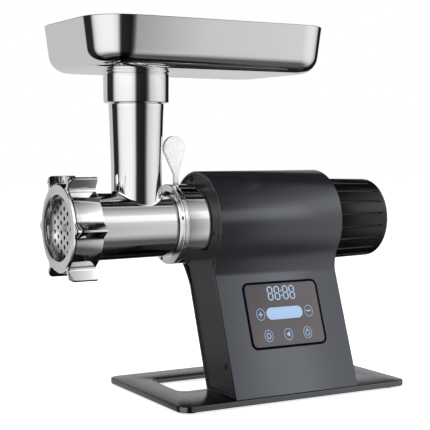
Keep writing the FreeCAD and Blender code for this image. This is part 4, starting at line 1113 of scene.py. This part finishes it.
# Brightness of the surroundings: round the machine, in degrees from the viewer's side
# (positive to the viewer's right), and by height, in degrees above the horizon.
BAND_PEAK = 1.82
FRONT_SIDES = ((-117, 0.0), (-115, 0.02), (-86, 0.02), (-76, 0.62), (-66, 0.8), (-50, 0.88),
               (-20, 0.9), (-10, 0.82), (-4, 0.7), (0, 0.45), (4, 0.1), (8, 0.02), (36, 0.012),
               (42, 0.04), (46, 0.12), (50, 0.27), (54, 0.42), (58, 0.57), (64, 0.6), (72, 0.68),
               (85, 0.75), (100, 0.77), (112, 0.68), (122, 0.55), (128, 0.3), (134, 0.01),
               (180, 0.01))
FRONT_BANDS = ((-90, 0.004), (-60, 0.004), (-57, 0.073), (-46, 0.073), (-43, 0.103),
               (-39, 0.212), (-25, 0.54), (0, 0.606), (12, 0.667), (18, 1.0), (32, 1.0),
               (36, 0.642), (43, 0.464), (49, 0.345), (54, 0.234), (58, 0.212), (62, 0.033))
LEFT_SIDES = ((-160, 0.0), (-157, 0.56), (-119, 0.56), (-116, 0.0))
LEFT_BANDS = ((-90, 1.0), (14, 1.0), (22, 0.0))
BACK_SIDES = ((-180, 0.6), (-160, 0.6), (-157, 0.0), (163, 0.0), (167, 0.6), (180, 0.6))
BACK_BANDS = ((-26, 0.0), (-22, 1.0), (16, 1.0), (22, 0.0), (44, 0.0), (50, 0.5), (74, 0.5))


def make_world():
    """Studio of soft bands that the steel reflects; the camera itself sees plain white."""
    world = bpy.data.worlds.new("studio")
    bpy.context.scene.world = world
    world.use_nodes = True
    tree = world.node_tree
    tree.nodes.clear()
    place = tree.nodes.new("ShaderNodeTexCoord")
    axes = tree.nodes.new("ShaderNodeSeparateXYZ")
    tree.links.new(place.outputs["Generated"], axes.inputs["Vector"])

    def maths(kind, *sources):
        item = tree.nodes.new("ShaderNodeMath")
        item.operation = kind
        for socket, source in zip(item.inputs, sources):
            if isinstance(source, (int, float)):
                socket.default_value = source
            else:
                tree.links.new(source, socket)
        return item.outputs[0]

    x, y, z = axes.outputs["X"], axes.outputs["Y"], axes.outputs["Z"]
    def glow_at(place, span, stops):
        """Brightness by a place that runs over the span, in degrees, from 0 to 1."""
        item = tree.nodes.new("ShaderNodeValToRGB")
        elements = item.color_ramp.elements
        while len(elements) < len(stops):
            elements.new(0.5)
        for element, (degrees, level) in zip(elements, stops):
            element.position = degrees / span + 0.5
            element.color = (level, level, level, 1)
        tree.links.new(place, item.inputs["Fac"])
        return item.outputs["Color"]

    def lights(side_stops, band_stops):
        return maths("MULTIPLY", glow_at(relative, 360, side_stops),
                     glow_at(height, 180, band_stops))

    height = maths("ADD", maths("DIVIDE", maths("ARCSINE", z), math.pi), 0.5)
    turn = maths("FRACT", maths("ADD", maths("DIVIDE", maths("ARCTAN2", y, x), 2 * math.pi),
                                1.0))
    front_way = (270 - VIEW_TURN) / 360
    relative = maths("FRACT", maths("ADD", maths("SUBTRACT", turn, front_way), 1.5))
    front = maths("MULTIPLY", lights(FRONT_SIDES, FRONT_BANDS), BAND_PEAK)
    strength = maths("ADD", front, maths("ADD", lights(LEFT_SIDES, LEFT_BANDS),
                                         lights(BACK_SIDES, BACK_BANDS)))
    glow = tree.nodes.new("ShaderNodeBackground")
    backdrop = tree.nodes.new("ShaderNodeBackground")
    for background in (glow, backdrop):
        background.inputs["Color"].default_value = (1, 1, 1, 1)
    tree.links.new(strength, glow.inputs["Strength"])
    backdrop.inputs["Strength"].default_value = 1.0
    path = tree.nodes.new("ShaderNodeLightPath")
    choice = tree.nodes.new("ShaderNodeMixShader")
    tree.links.new(path.outputs["Is Camera Ray"], choice.inputs["Fac"])
    tree.links.new(glow.outputs["Background"], choice.inputs[1])
    tree.links.new(backdrop.outputs["Background"], choice.inputs[2])
    out = tree.nodes.new("ShaderNodeOutputWorld")
    tree.links.new(choice.outputs["Shader"], out.inputs["Surface"])


def make_floor():
    signs = ((-1, -1), (1, -1), (1, 1), (-1, 1))
    corners = [(FLOOR_HALF * u, FLOOR_HALF * v, 0) for u, v in signs]
    mesh = bpy.data.meshes.new("floor")
    mesh.from_pydata(corners, [], [(0, 1, 2, 3)])
    floor = bpy.data.objects.new("floor", mesh)
    bpy.context.scene.collection.objects.link(floor)
    material = new_material("floor", (0.95, 0.95, 0.95), 0.0, 0.9)
    vary_roughness(material, grain(material, 4), 0.85, 0.95)
    shader = shader_of(material)
    shader.inputs["Emission Color"].default_value = (1, 1, 1, 1)
    shader.inputs["Emission Strength"].default_value = 0.8
    mesh.materials.append(material)
    floor.visible_glossy = False


def area_light(name, position, target, size, power):
    data = bpy.data.lights.new(name, "AREA")
    data.shape = "RECTANGLE"
    data.size, data.size_y = size
    data.energy = power
    item = bpy.data.objects.new(name, data)
    item.location = position
    item.rotation_euler = (Vector(target) - Vector(position)).to_track_quat("-Z", "Y").to_euler()
    bpy.context.scene.collection.objects.link(item)
    item.visible_glossy = False
    return item


def make_lights():
    """Soft studio lights; positions and sizes in metres."""
    area_light("key", (-0.9, -1.6, 2.0), (0, 0, 0.15), (1.6, 1.2), 26)
    area_light("fill", (1.6, -1.4, 0.9), (0, 0, 0.15), (1.4, 1.0), 7)
    area_light("top", (0.1, 0.3, 2.3), (0, 0, 0.1), (1.8, 1.8), 16)


def make_shell_light(housing):
    """Low soft light that only the lacquered shell picks up on its leaning face."""
    lamp = area_light("shell", (0.46, -1.22, 0.57), (0, -0.055, 0.1), (1.2, 0.5), SHELL_POWER)
    lamp.visible_glossy = True
    receivers = bpy.data.collections.new("shell_light")
    receivers.objects.link(housing)
    lamp.light_linking.receiver_collection = receivers


def make_camera():
    """The photograph's view: a long lens a little above the barrel, from the left front."""
    data = bpy.data.cameras.new("camera")
    data.sensor_width = 36
    data.lens = VIEW_LENS
    camera = bpy.data.objects.new("camera", data)
    turn = math.radians(VIEW_TURN)
    tilt = math.radians(VIEW_TILT)
    forward = Vector((math.sin(turn) * math.cos(tilt), math.cos(turn) * math.cos(tilt),
                      -math.sin(tilt)))
    camera.location = spot(*VIEW_SPOT)
    camera.rotation_euler = forward.to_track_quat("-Z", "Y").to_euler()
    bpy.context.scene.collection.objects.link(camera)
    bpy.context.scene.camera = camera


shell = make_housing()
make_base()
make_screws()
make_cap()
make_collar()
make_head()
make_nut()
make_tray()
make_neck()
make_lever()
make_panel()
finish_cad()
make_world()
make_floor()
make_lights()
make_shell_light(shell)
make_camera()
bpy.context.scene.view_settings.view_transform = "Standard"
